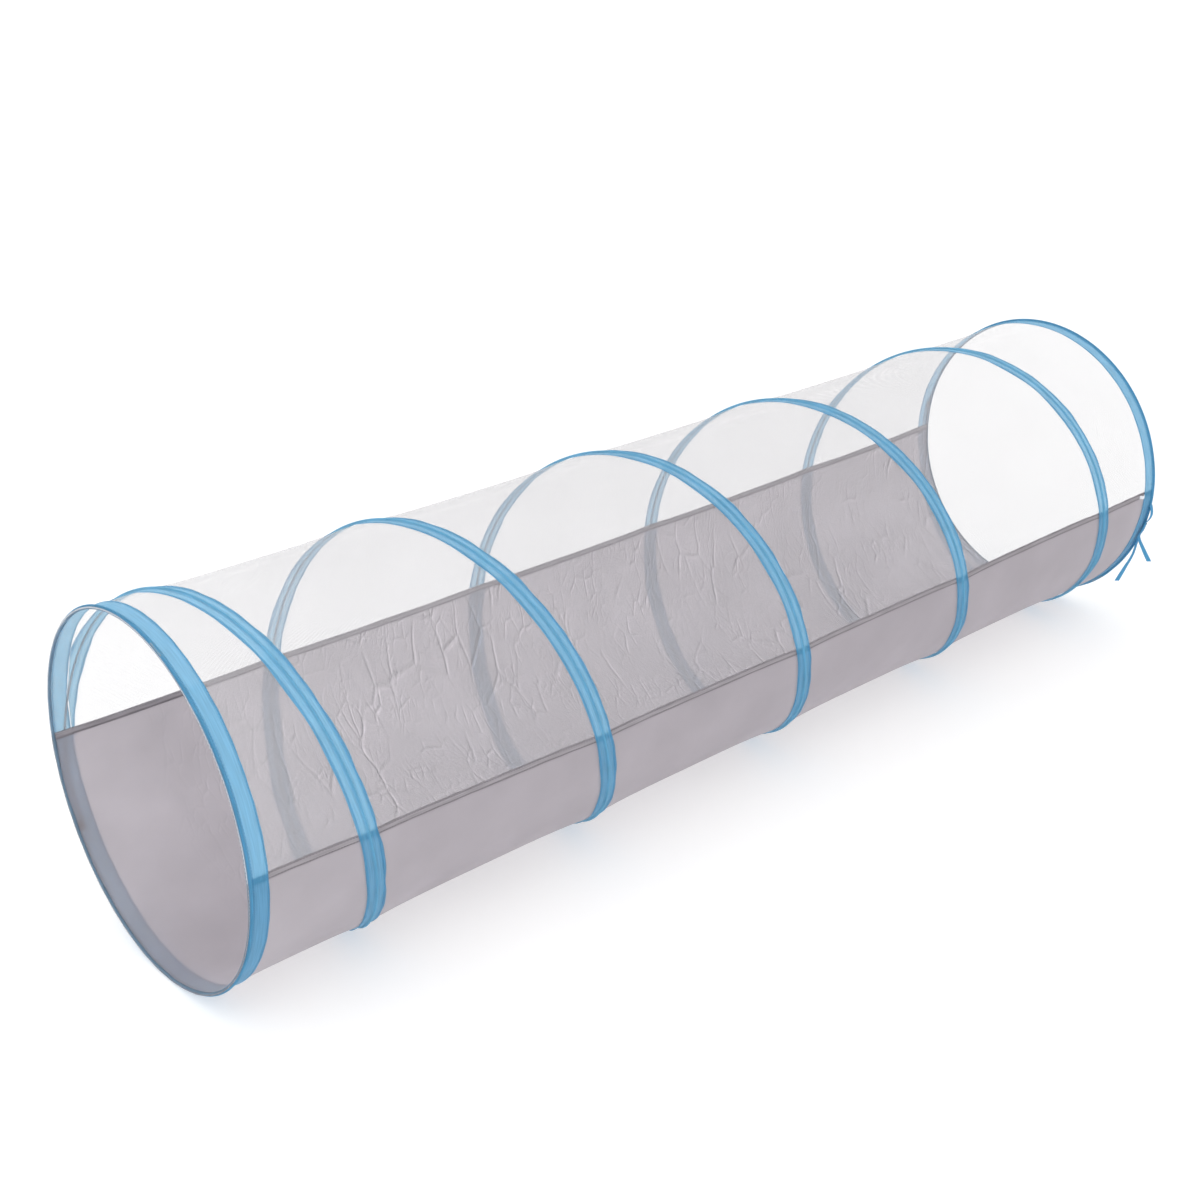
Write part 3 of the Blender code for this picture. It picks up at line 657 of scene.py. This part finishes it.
def rides(piece, body_name, slot, *nodes):
    """A piece that moves with one end of the tunnel and stands for its solids."""
    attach(piece, body_name)
    if nodes:
        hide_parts(*nodes)


def folds(piece, slot, *nodes):
    """A piece between the rings, which moves with the front end."""
    rides(piece, "front_end", slot, *nodes)
    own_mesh(piece)


# %% [markdown]
# ## Net and polyester
# The upper half of the tube is net and the lower half polyester. Both are pulled in a few millimetres
# between the turns of the coil. Sculpting would give one fixed shape, so formulas shape them and follow
# the coil. Besides its fine creases the polyester has broad, soft ones: each is a low ridge or hollow
# with a soft edge, placed with a fixed seed.

# %% Seams and drawn-in cloth


def seam_angle(seam, x):
    sag = SEAM_SAG * np.sin(pi * x / LENGTH)
    if seam == 180:
        return seam - degrees_for(FAR_SEAM_DROP + sag)
    return seam + degrees_for(NEAR_SEAM_DROP + sag)


def waist_share(angle, x):
    """0 under tape and at its edges, nearly 1 midway between two turns of the coil."""
    turns = [coil_x(angle + 360 * k) for k in range(-3, 4)]
    starts = [np.full_like(x, TAPE_WIDTH)] + [t + TAPE_HALF for t in turns]
    ends = [t - TAPE_HALF for t in turns] + [np.full_like(x, LENGTH - TAPE_WIDTH)]
    found = np.zeros_like(x)
    for start, end in zip(starts, ends):
        start, end = np.maximum(start, TAPE_WIDTH), np.minimum(end, LENGTH - TAPE_WIDTH)
        span = np.maximum(end - start, 1e-6)
        t = (x - start) / span
        inside = (t > 0) & (t < 1) & (end > start)
        found = np.where(inside, np.minimum(1, span / (PITCH - TAPE_WIDTH)) * (1 - (2 * t - 1) ** 4), found)
    return found


# %% Creases in the polyester
CREASES = 150
CREASE_SEED = 11


def crease_heights(angle, x):
    rng = np.random.default_rng(CREASE_SEED)
    around = np.radians(angle) * SKIN_RADIUS
    height = np.zeros_like(x)
    for _ in range(CREASES):
        at_x = rng.uniform(0.15, LENGTH)
        at_around = np.radians(rng.uniform(72, 178)) * SKIN_RADIUS
        turn = rng.normal(pi / 2, 0.55)
        length, width = rng.uniform(0.03, 0.11), rng.uniform(0.007, 0.013)
        rise = rng.uniform(0.0005, 0.0016) * rng.choice((-1, 1))
        bend = rng.normal(0, 6)
        dx, da = x - at_x, around - at_around
        along = dx * cos(turn) + da * sin(turn)
        over = da * cos(turn) - dx * sin(turn) + bend * along**2
        height += rise * np.exp(-((over / width) ** 2)) * np.exp(-((along / length) ** 4))
    return height


# %% Net and polyester
SHEET_ROWS = 361
PANEL_COLUMNS = 130
NET_COLUMNS = 110
CLOTH_THICKNESS = 0.0003


def half_tube(name, low, high, columns, finish, creased):
    opening = degrees_for(SEAM_WEB / 2 + GAP)
    x = np.linspace(SKIN_INSET, LENGTH - SKIN_INSET, SHEET_ROWS)[:, None] * np.ones((1, columns))
    share = np.linspace(0, 1, columns)[None, :]
    start, end = seam_angle(low, x) + opening, seam_angle(high, x) - opening
    angle = start + (end - start) * share
    free = waist_share(angle, x)
    lift = -WAIST * free
    if creased:
        lift = lift + crease_heights(angle, x) * ease(free * 2.5)
    points = tube(angle, x, lift)
    around = np.radians(angle - low) * SKIN_RADIUS
    made = sheet_object(name, points, np.stack([x, around], axis=-1), CLOTH_THICKNESS, finish)
    width = float(np.mean(np.sum(np.linalg.norm(np.diff(points, axis=1), axis=2), axis=1)))
    print(name, "flat width", round(width, 3), "m")
    return made, width


panel, panel_width = half_tube("polyester_lower_half", 0, 180, PANEL_COLUMNS, panel_finish, True)
net, net_width = half_tube("net_upper_half", 180, 360, NET_COLUMNS, net_finish, False)
folds(panel, "grey_polyester", "lower_panel")
folds(net, "white_net", "upper_mesh")

# %% [markdown]
# ## Seam bindings
# The raw edges of net and polyester are folded into a narrow grey tape. Its leaf outside and its leaf
# inside meet in the seam. Two strips would leave that joint open, so one section, drawn along each
# seam, makes the whole binding.

# %% Sections along a path
SHARP_ANGLE = 50


def running_length(points):
    """How far along a line of points each of them is."""
    return np.concatenate([[0], np.cumsum(np.linalg.norm(np.diff(points, axis=0), axis=1))])


def point_outward(piece):
    mesh = bmesh.new()
    mesh.from_mesh(piece.data)
    bmesh.ops.recalc_face_normals(mesh, faces=mesh.faces)
    mesh.to_mesh(piece.data)
    mesh.free()


def lofted(name, sections, finish):
    """A closed section swept along rows of points: (rows, corners, 3)."""
    rows, corners = sections.shape[:2]
    index = np.arange(rows * corners).reshape(rows, corners)
    faces = cells_of(np.hstack([index, index[:, :1]])).tolist()
    faces += [index[0][::-1].tolist(), index[-1].tolist()]
    along = running_length(sections.mean(axis=1))
    around = running_length(np.vstack([sections[0], sections[0][:1]]))
    place = np.stack(np.broadcast_arrays(along[:, None], around), axis=-1)
    corner_uv = np.vstack([cells_of(place).reshape(-1, 2), np.zeros((2 * corners, 2))])
    made = smooth_piece(name, sections.reshape(-1, 3), faces, corner_uv, finish)
    point_outward(made)
    made.data.set_sharp_from_angle(angle=radians(SHARP_ANGLE))
    return made


# %% Seam bindings
BINDING_ROWS = 300
BINDING_WAVER = 0.10


def wander(x, seed, reach):
    """A slow waver along an edge, a sum of four waves with fixed phases."""
    rng = np.random.default_rng(seed)
    total = np.zeros_like(x)
    for _ in range(4):
        total += np.sin(2 * pi * x / rng.uniform(0.03, 0.16) + rng.uniform(0, 6.28)) / 4
    return total * reach


def binding(name, node, seam, seed):
    leaf, web = BINDING_WIDTH / 2, SEAM_WEB / 2
    under = -SKIN_THICKNESS - GAP
    outline = np.array([
        (-leaf, GAP), (-leaf, BINDING_LIFT), (leaf, BINDING_LIFT), (leaf, GAP), (web, GAP), (web, under),
        (leaf, under), (leaf, under - BINDING_THICKNESS), (-leaf, under - BINDING_THICKNESS),
        (-leaf, under), (-web, under), (-web, GAP),
    ])
    x = np.linspace(SKIN_INSET, LENGTH - SKIN_INSET, BINDING_ROWS)
    centre = seam_angle(seam, x)
    dip = WAIST * waist_share(centre, x)
    waver = 1 + wander(x, seed, BINDING_WAVER)
    turn = centre[:, None] + degrees_for(outline[None, :, 0]) * waver[:, None]
    lift = outline[None, :, 1] - dip[:, None]
    folds(lofted(name, tube(turn, x[:, None], lift), binding_finish), "grey_binding", node)


binding("near_seam_tape", "near_seam_binding", 0, 3)
binding("far_seam_tape", "far_seam_binding", 180, 4)
print("two bindings,", round(BINDING_WIDTH * 1000), "mm wide")

# %% [markdown]
# ## Wires
# The coil is one wire from the front ring to the rear one, and each ring is a loop whose ends meet in
# a sleeve. They hardly show through the tape, but they are what holds the tunnel up. A Curve object with
# a bevel would do, but a tree can also make the threads at the rims. Each wire is a path of points, and
# Geometry Nodes sweep a round section along it.

# %% The tree that sweeps a wire


def new_tree(name, result, sizes):
    """A Geometry Nodes tree with named inputs, begun with a curve along its guide's edges."""
    tree = bpy.data.node_groups.new(name, "GeometryNodeTree")
    geometry, finish = ("Lines", "NodeSocketGeometry", None), ("Finish", "NodeSocketMaterial", None)
    for label, kind, value in (geometry, *sizes, finish):
        socket = tree.interface.new_socket(label, in_out="INPUT", socket_type=kind)
        if value is not None:
            socket.default_value = value
    tree.interface.new_socket(result, in_out="OUTPUT", socket_type="NodeSocketGeometry")
    given = add_node(tree, "NodeGroupInput").outputs
    return tree, given, add_node(tree, "GeometryNodeMeshToCurve", {0: given["Lines"]})


def end_tree(tree, given, shape):
    """Makes the tree's shape smooth, gives it its finish and sends it out."""
    smooth = add_node(tree, "GeometryNodeSetShadeSmooth", {0: shape})
    dyed = add_node(tree, "GeometryNodeSetMaterial", {"Geometry": smooth, "Material": given["Finish"]})
    add_node(tree, "NodeGroupOutput", {0: dyed})


def made_by(tree, name, mesh, values):
    """Runs a tree on a guide mesh, and keeps only the plain mesh that comes out."""
    guide = add_to_scene(name + "_guide", mesh)
    run = guide.modifiers.new(tree.name, "NODES")
    run.node_group = tree
    for socket in tree.interface.items_tree:
        if socket.name in values:
            run[socket.identifier] = values[socket.name]
    evaluated = guide.evaluated_get(bpy.context.evaluated_depsgraph_get())
    plain = bpy.data.meshes.new_from_object(evaluated)
    bpy.data.objects.remove(guide)
    plain.name = name
    print(name, len(plain.polygons), "faces")
    return add_to_scene(name, plain)


sweeping, given, line = new_tree("sweeping", "Wire", [
    ("Radius", "NodeSocketFloat", WIRE_RADIUS), ("Sides", "NodeSocketInt", 8),
])
section = add_node(sweeping, "GeometryNodeCurvePrimitiveCircle", {
    "Resolution": given["Sides"], "Radius": given["Radius"],
})
end_tree(sweeping, given, add_node(sweeping, "GeometryNodeCurveToMesh", {
    "Curve": line, "Profile Curve": section, "Fill Caps": True,
}))


def swept(name, path, finish, radius=WIRE_RADIUS, sides=8):
    mesh = bpy.data.meshes.new(name + "_path")
    mesh.from_pydata(path, [(n, n + 1) for n in range(len(path) - 1)], [])
    return made_by(sweeping, name, mesh, {"Radius": radius, "Sides": sides, "Finish": finish})


# %% Wires
WIRE_STEP = 2.5
RING_OPENING = 0.2
ENDS = (("front", FRONT, "front_end"), ("rear", REAR, "rear_end"))


def even_angles(low, high, step):
    return np.linspace(low, high, int(ceil((high - low) / step)) + 1)


def sleeve_angle(side):
    return crimp_angle(side) - SLEEVE_FACETS_AWAY * STEP


def from_rim(side, inset):
    """The distance x of a place that is this far in from one rim."""
    return inset if side == FRONT else LENGTH - inset


wire_angles = even_angles(-COIL_END[FRONT], COIL_END[REAR], WIRE_STEP)
coil = swept("spring_coil", tube(wire_angles, coil_x(wire_angles), WIRE_LIFT), steel_finish)
folds(coil, "spring_steel", "coil_wire")

for word, side, body_name in ENDS:
    sleeve_at = side * sleeve_angle(side)
    ring_angles = even_angles(sleeve_at + RING_OPENING, sleeve_at + 360 - RING_OPENING, WIRE_STEP)
    ring = swept(f"{word}_ring", tube(ring_angles, from_rim(side, RING_INSET), WIRE_LIFT), steel_finish)
    rides(ring, body_name, "spring_steel", f"{word}_ring_wire")
for node in ("front_ring_sleeve", "front_coil_crimp", "rear_ring_sleeve", "rear_coil_crimp"):
    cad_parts[node].data.materials.clear()
    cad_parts[node].data.materials.append(steel_finish)

# %% [markdown]
# ## Tape over the coil
# A strip of tape 28 mm wide lies over the wire, folded under and sewn down along both edges. A flat
# strip shrunk onto the tube would lose the wire's ridge. So its section, a low ridge between two flats
# with thicker hems, is drawn along the whole coil in one piece, and cut off where it runs in beside the
# end tapes.

# %% Section of the tape over the coil
HEM_RISE = 0.00035
EDGE_WAVE = 0.0018
PUCKER = 0.0005
GATHER_PITCH = 0.011
TAPE_STEP = 2.0
TAPE_RISE = RIDGE_LIFT - GAP - TAPE_THICKNESS


def ridge_height(distance):
    return np.where(np.abs(distance) < FOOT_HALF, np.cos(pi / 2 * distance / FOOT_HALF) ** 2, 0)


def pucker(length, side):
    """Small gathers along a sewn edge, different on the tape's two sides."""
    gathers = [
        0.5 + 0.5 * wander(length, seed, 1.0) * np.sin(length * 2 * pi / GATHER_PITCH + seed)
        for seed in (61, 62)
    ]
    return PUCKER * np.where(side, *gathers)


def seam_rise(angle):
    """How much higher tape lies on a seam's binding, which it climbs from 15 to 5 degrees away."""
    past = np.abs((np.asarray(angle, float) + 90) % 180 - 90)
    return (BINDING_THICKNESS + GAP) * np.clip((15 - past) / 10, 0, 1)


ridge_places = np.linspace(-FOOT_HALF, FOOT_HALF, 9)
hem_places = np.array([TAPE_HALF - HEM - EASE_WIDTH, TAPE_HALF - HEM, TAPE_HALF])
TAPE_PLACES = np.concatenate([-hem_places[::-1], ridge_places, hem_places])


def coil_tape_rows(angle):
    """Distances x and heights of the places across the tape, for a run of angles."""
    x = coil_x(angle)[:, None]
    length = np.radians(angle)[:, None] * SKIN_RADIUS
    across = np.broadcast_to(TAPE_PLACES, (len(angle), len(TAPE_PLACES))).copy()
    across[:, :1] += wander(length, 21, EDGE_WAVE)
    across[:, -1:] += wander(length, 22, EDGE_WAVE)
    base = GAP + TAPE_THICKNESS + seam_rise(angle)[:, None]
    base = base + HEM_RISE * (np.abs(TAPE_PLACES) > TAPE_HALF - HEM - EASE_WIDTH / 2)
    base = base + pucker(length, TAPE_PLACES > 0) * (np.abs(TAPE_PLACES) / TAPE_HALF) ** 2
    return x + across, base + TAPE_RISE * ridge_height(TAPE_PLACES)


def cut_at_joint(x, lift, angle):
    """Draws the tape back to where it crosses the edge of an end tape."""
    for side in (FRONT, REAR):
        edge = from_rim(side, TAPE_JOINT)
        near = angle < 0 if side == FRONT else angle >= 0
        for row in np.where(near)[0]:
            outside = (x[row] - edge) * side > 0
            if outside.any() and not outside.all():
                lift[row] = np.where(outside, np.interp(edge, x[row], lift[row]), lift[row])
                x[row] = np.where(outside, edge, x[row])
    return x, lift


# %% Tape over the coil
TAPE_SHEET = 0.0004
TAPE_RUN_IN = TAPE_JOINT - TAPE_HALF + 0.002

tape_angles = even_angles(-angle_where(FRONT, TAPE_RUN_IN), angle_where(REAR, TAPE_RUN_IN), TAPE_STEP)
tape_x, tape_lift = cut_at_joint(*coil_tape_rows(tape_angles), tape_angles)
tape_points = tube(tape_angles[:, None], tape_x, tape_lift)
tape_length = np.radians(tape_angles)[:, None] * SKIN_RADIUS
tape_uv = np.stack(np.broadcast_arrays(tape_length, TAPE_PLACES + TAPE_HALF), axis=-1)
coil_tape = sheet_object("tape_over_coil", tape_points, tape_uv, TAPE_SHEET, coil_tape_finish)
folds(coil_tape, "blue_tape", "coil_casing")

# %% [markdown]
# ## Tape round the two ends
# At each end the tape wraps over the ring wire, turns in at the rim and ends in a very narrow hem
# inside the tunnel. On its outer leaf a second ridge appears where the coil slips under it. A bevelled
# ring could not change along the way, so this tape is a grid too, closed round the ring.

# %% Section of the end tape
LEAF_PLACES = np.array([0, HEM, HEM + EASE_WIDTH, *np.linspace(0.0055, TAPE_WIDTH - 0.0004, 32)])
INNER_LIFT = -0.0013
RIDGE_FADE, CRIMP_REACH, SLEEVE_REACH = 5, 8, 9
RIM_FOLD = np.array([
    (0.0, WIRE_LIFT), (-0.0001, 0.0004), (0.0, -0.0009), (0.0006, INNER_LIFT),
    (INNER_HEM / 2, INNER_LIFT), (INNER_HEM, INNER_LIFT),
])
FOLD_PLACES = np.array([0.0015, 0.0034, 0.0045, 0.0053, 0.0063, 0.0078])
LEAF_AND_FOLD = np.concatenate([LEAF_PLACES, TAPE_WIDTH + FOLD_PLACES])


def leaf_lift(side, angle, inset):
    """Height of the outer leaf's face, with ridges over ring, coil, sleeve and crimp."""
    coil_left = np.clip((COIL_END[side] + RIDGE_FADE - angle) / RIDGE_FADE, 0, 1)
    over_coil = ridge_height(inset - coil_inset(side, angle)) * coil_left
    over_ring = ridge_height(inset - RING_INSET)
    by_crimp = np.clip((CRIMP_REACH - np.abs(angle - crimp_angle(side))) / RIDGE_FADE, 0, 1)
    between = (inset > RING_INSET) & (inset < LANE)
    over_crimp = np.where(between, by_crimp, 0)
    away = np.abs(angle - sleeve_angle(side))
    by_sleeve = np.clip((SLEEVE_REACH - np.minimum(away, 360 - away)) / RIDGE_FADE, 0, 1)
    height = np.maximum(np.maximum(over_coil, over_ring), over_crimp)
    room = SLEEVE_ROOM * height * np.maximum(by_sleeve, by_crimp)
    hem = HEM_RISE * (inset > TAPE_WIDTH - HEM - EASE_WIDTH / 2)
    return GAP + TAPE_THICKNESS + seam_rise(angle) + TAPE_RISE * height + room + hem


def round_the_ring(side):
    """Angles once round, from the tape's joint beside the crimp."""
    start = crimp_angle(side) + STEP / 2 - 360
    return np.arange(start, start + 360, TAPE_STEP)


def end_tape(name, side, seed):
    angle = round_the_ring(side)[:, None]
    length = np.radians(angle) * SKIN_RADIUS
    inset = np.broadcast_to(TAPE_WIDTH - LEAF_PLACES, (len(angle), len(LEAF_PLACES))).copy()
    lift = leaf_lift(side, angle, inset)
    inset[:, :1] += (wander(length, seed, EDGE_WAVE) - EDGE_WAVE) / 2
    lift = lift + pucker(length, inset > 0) * np.clip(inset / TAPE_WIDTH - 0.35, 0, 1) ** 2
    folded_inset = np.broadcast_to(RIM_FOLD[:, 0], (len(angle), len(RIM_FOLD))).copy()
    folded_inset[:, -1:] += wander(length, seed + 1, EDGE_WAVE / 2)
    folded_lift = RIM_FOLD[:, 1] - seam_rise(angle) * (RIM_FOLD[:, 1] < 0)
    x = from_rim(side, np.hstack([inset, folded_inset]))
    points = tube(side * angle, x, np.hstack([lift, folded_lift]))
    rows = np.append(length[:, 0], length[-1, 0] + radians(TAPE_STEP) * SKIN_RADIUS)
    uv = np.stack(np.broadcast_arrays(rows[:, None], LEAF_AND_FOLD), axis=-1)
    return sheet_object(name, points, uv, TAPE_SHEET, ring_tape_finish, closed=True)


# %% Tape round the two ends
for (word, side, body_name), seed in zip(ENDS, (31, 41)):
    rides(end_tape(f"{word}_end_tape", side, seed), body_name, "blue_tape", f"{word}_ring_casing")

# %% [markdown]
# ## Tie ribbon
# The folded tunnel is held shut by a ribbon, looped through the tape of the rear ring on the near
# side. Its loop stands open a little, and its two tails hang down beside the ring. Simulated cloth would
# hang much the same, but its ends would not stay where the solids have them. So each part is a flat
# section drawn along a smooth curve through a few points, and turned a little as it hangs.

# %% Ribbon from a path
RIBBON_WIDTH = 0.008
RIBBON_THICKNESS = 0.0006
RIBBON_SECTION = (
    (-1, -0.35), (-0.9, -1), (0.9, -1), (1, -0.35), (1, 0.35), (0.9, 1), (-0.9, 1), (-1, 0.35),
)


def smooth_run(points, count):
    """A smooth curve through points, evenly spaced in parameter."""
    points = np.asarray(points, float)
    padded = np.vstack([2 * points[0] - points[1], points, 2 * points[-1] - points[-2]])
    place = np.linspace(0, len(points) - 1, count)
    low = np.minimum(place.astype(int), len(points) - 2)
    t = (place - low)[:, None]
    return smooth_between(*(padded[low + n] for n in range(4)), t)


def ribbon(name, centres, widths, thickness, finish):
    """A flat section with rounded edges along centres; widths lie across it."""
    up = np.cross(np.gradient(centres, axis=0), widths)
    up *= thickness / 2 / np.linalg.norm(up, axis=1)[:, None]
    corners = [centres + widths / 2 * across + up * above for across, above in RIBBON_SECTION]
    return lofted(name, np.stack(corners, axis=1), finish)


def on_rear(angle, inset, lift):
    return tube(angle, LENGTH - inset, lift)


# %% Loop of the ribbon
LOOP_TOP_ANGLE, LOOP_BOTTOM_ANGLE, LOOP_RISE, LOOP_INSET = 5.5, 13.5, 0.0055, 0.005
LOOP_POINTS = 24

along = np.array((RIBBON_WIDTH, 0, 0))
seat = RIDGE_LIFT + GAP + RIBBON_THICKNESS / 2
arch = []
for n, share in enumerate((0.0, 0.7, 1.0, 0.7, 0.0)):
    angle = LOOP_TOP_ANGLE + (LOOP_BOTTOM_ANGLE - LOOP_TOP_ANGLE) * n / 4
    arch.append(on_rear(angle, LOOP_INSET, seat + LOOP_RISE * share))
loop_run = smooth_run(arch, LOOP_POINTS)
loop = ribbon("tie_ribbon_loop", loop_run, np.tile(along, (LOOP_POINTS, 1)), RIBBON_THICKNESS, ribbon_finish)
rides(loop, "rear_end", "blue_tape", "tie_loop")

# %% Tails of the ribbon
FORK_ANGLE, FORK_INSET = 20.0, 0.010
LONG_END_DROP, LONG_END_INWARD = 0.093, 0.032
SHORT_END_DROP, SHORT_END_OUTWARD = 0.038, 0.025
LONG_RUN = [(0, LONG_END_INWARD * i, -LONG_END_DROP * d) for i, d in ((0.22, 0.37), (0.6, 0.68), (1.0, 1.0))]
SHORT_RUN = [(0, -SHORT_END_OUTWARD * i, -SHORT_END_DROP * d) for i, d in ((0.45, 0.5), (1.0, 1.0))]
TAIL_POINTS = 36

below = LOOP_BOTTOM_ANGLE + degrees_for(RIBBON_THICKNESS + GAP)
turned = np.array((RIBBON_WIDTH * 0.74, -RIBBON_WIDTH * 0.67, 0))
twist = ease(np.linspace(-0.8, 1, TAIL_POINTS))[:, None]
for name, lift, hanging in (("long", seat, LONG_RUN), ("short", seat + RIBBON_THICKNESS + GAP, SHORT_RUN)):
    run = []
    for share in (0, 0.5, 1):
        inset = LOOP_INSET + (FORK_INSET - LOOP_INSET) * share
        run.append(on_rear(below + (FORK_ANGLE - below) * share, inset, lift + 2 * GAP * share))
    run += [run[-1] + np.array(step) for step in hanging]
    centres = smooth_run(run, TAIL_POINTS)
    widths = along * (1 - twist) + turned * twist
    tail = ribbon(f"tie_ribbon_{name}_tail", centres, widths, RIBBON_THICKNESS, ribbon_finish)
    rides(tail, "rear_end", "blue_tape", f"tie_tail_{name}")

# %% [markdown]
# ## Loose loop at the end of the seam
# Where the near seam runs under the rear tape, a scrap of net and thread stands up in a small loop. It
# is made as the ribbon is.

# %% Loose loop
SEAM_LOOP_WIDTH, SEAM_LOOP_LENGTH, SEAM_LOOP_RISE = 0.006, 0.012, 0.0045
SCRAP_THICKNESS = 0.0005
SCRAP_POINTS = 20

loop_seat = BINDING_LIFT + GAP + RIBBON_THICKNESS / 2
scrap = []
for n, share in enumerate((0.0, 0.8, 1.0, 0.8, 0.0)):
    at_x = LENGTH - (TAPE_JOINT + RIBBON_THICKNESS + SEAM_LOOP_LENGTH * n / 4)
    scrap.append(tube(seam_angle(0, at_x), at_x, loop_seat + SEAM_LOOP_RISE * share))
scrap_run = smooth_run(scrap, SCRAP_POINTS)
scrap_widths = np.tile((0, 0, SEAM_LOOP_WIDTH), (SCRAP_POINTS, 1))
scrap_loop = ribbon("loose_seam_loop", scrap_run, scrap_widths, SCRAP_THICKNESS, white_thread)
rides(scrap_loop, "rear_end", "white_net", "seam_end_loop")
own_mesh(scrap_loop)
print("loose loop", round(float(running_length(scrap_run)[-1]) * 1000), "mm long")

# %% [markdown]
# ## Stitching
# Rows of lockstitch hold every tape and binding down. A bump could only hint at them, so they are real
# beads. Geometry Nodes lay one short bead of thread at each step along a line, turned along the seam and
# away from the cloth. Each row is first a chain of edges that carries the cloth's outward direction.

# %% The tree that sews
STITCH_PITCH = 0.0042
STITCH_LENGTH = 0.0032
THREAD_DIAMETER = 0.00055

sewing, given, line = new_tree("sewing", "Stitches", [
    ("Pitch", "NodeSocketFloat", STITCH_PITCH), ("Stitch Length", "NodeSocketFloat", STITCH_LENGTH),
    ("Thread", "NodeSocketFloat", THREAD_DIAMETER),
])
steps = {"Curve": line, "Length": given["Pitch"]}
spaced = add_node(sewing, "GeometryNodeResampleCurve", steps, mode="LENGTH")
bead = add_node(sewing, "GeometryNodeMeshUVSphere", {"Segments": 6, "Rings": 4, "Radius": 0.5})
size = add_node(sewing, "ShaderNodeCombineXYZ", {
    "X": given["Stitch Length"], "Y": given["Thread"], "Z": given["Thread"],
})
shaped = add_node(sewing, "GeometryNodeTransform", {"Geometry": bead, "Scale": size})
ahead = add_node(sewing, "GeometryNodeInputTangent")
outward = add_node(sewing, "GeometryNodeInputNamedAttribute", {"Name": "outward"}, data_type="FLOAT_VECTOR")
turned_along = add_node(sewing, "FunctionNodeAlignRotationToVector", {"Vector": ahead}, axis="X")
turned_out = add_node(sewing, "FunctionNodeAlignRotationToVector", {
    "Rotation": turned_along, "Vector": outward.outputs["Attribute"],
}, axis="Z", pivot_axis="X")
placed = add_node(sewing, "GeometryNodeInstanceOnPoints", {
    "Points": spaced, "Instance": shaped, "Rotation": turned_out,
})
end_tree(sewing, given, add_node(sewing, "GeometryNodeRealizeInstances", {0: placed}))


def sewn(name, rows, finish):
    """rows is a list of (angles, x, lift) runs. Returns a plain mesh of stitches."""
    points, outward_way, edges = [], [], []
    for angle, x, lift in rows:
        start = len(points)
        points += tube(angle, x, lift).tolist()
        turn = np.radians(angle)
        outward_way += np.stack([0 * turn, -np.cos(turn), -np.sin(turn)], axis=1).tolist()
        edges += [(start + n, start + n + 1) for n in range(len(angle) - 1)]
    mesh = bpy.data.meshes.new(name + "_rows")
    mesh.from_pydata(points, edges, [])
    mesh.attributes.new("outward", "FLOAT_VECTOR", "POINT").data.foreach_set("vector", np.ravel(outward_way))
    made = made_by(sewing, name, mesh, {"Finish": finish})
    if "outward" in made.data.attributes:
        made.data.attributes.remove(made.data.attributes["outward"])
    return made


# %% Rows of stitches
STITCH_IN = 0.0024
BINDING_STITCH = 0.0030
SINK = THREAD_DIAMETER * 0.2

coil_angles = even_angles(-COIL_END[FRONT], COIL_END[REAR], TAPE_STEP)
coil_rows = []
for place in (STITCH_IN - TAPE_HALF, TAPE_HALF - STITCH_IN):
    row_x = coil_x(coil_angles) + place
    keep = (row_x > TAPE_JOINT + 0.001) & (row_x < LENGTH - TAPE_JOINT - 0.001)
    lift = GAP + TAPE_THICKNESS + HEM_RISE + seam_rise(coil_angles) + SINK
    coil_rows.append((coil_angles[keep], row_x[keep], lift[keep]))
folds(sewn("stitches_on_coil_tape", coil_rows, blue_thread), "blue_tape")

seam_rows = []
row_x = np.linspace(TAPE_JOINT, LENGTH - TAPE_JOINT, BINDING_ROWS)
for seam in (0, 180):
    centre = seam_angle(seam, row_x)
    dip = WAIST * waist_share(centre, row_x)
    for offset in (-BINDING_STITCH, BINDING_STITCH):
        for lift in (BINDING_LIFT + SINK, -SKIN_THICKNESS - GAP - BINDING_THICKNESS - SINK):
            seam_rows.append((centre + degrees_for(offset), row_x, lift - dip))
folds(sewn("stitches_on_seams", seam_rows, grey_thread), "grey_binding")

for word, side, body_name in ENDS:
    angles = round_the_ring(side)
    ring_rows = [
        (side * angles, from_rim(side, inset), leaf_lift(side, angles, inset) + SINK)
        for inset in (TAPE_WIDTH - STITCH_IN, RING_INSET + FOOT_HALF + 0.0004)
    ]
    rides(sewn(f"stitches_on_{word}_tape", ring_rows, blue_thread), body_name, "blue_tape")

# %% [markdown]
# ## Threads at the rims
# The cut edge inside each rim is bound by an overlock seam, whose thread loops round the edge: white
# along the net and grey along the polyester. Single loops would be too fine to see, so each is one wavy
# thread, and a few of its waves stand out.

# %% Threads at the rims
OVERLOCK_PITCH = 0.0052
OVERLOCK_RADIUS = 0.00025
OVERLOCK_LIFT, OVERLOCK_SWING = 0.0012, 0.0010

overlock_waves = np.round(2 * pi * SKIN_RADIUS / OVERLOCK_PITCH)
for (word, side, body_name), seed in zip(ENDS, (71, 72)):
    for part, low, thread in (("lower", 0, grey_thread), ("upper", 180, white_thread)):
        angles = even_angles(low, low + 180, 0.25)
        swing = np.sin(2 * pi * overlock_waves * angles / 360)
        loose = 1 + 1.6 * np.clip(wander(np.radians(angles) * SKIN_RADIUS, seed, 2.0) - 0.7, 0, 1)
        row_x = from_rim(side, -0.0004 + 0.0002 * np.cos(np.radians(angles) * 40))
        row = tube(angles, row_x, OVERLOCK_LIFT + OVERLOCK_SWING * swing * loose)
        overlock = swept(f"{part}_overlock_on_{word}_rim", row, thread, radius=OVERLOCK_RADIUS, sides=5)
        rides(overlock, body_name, "blue_tape")
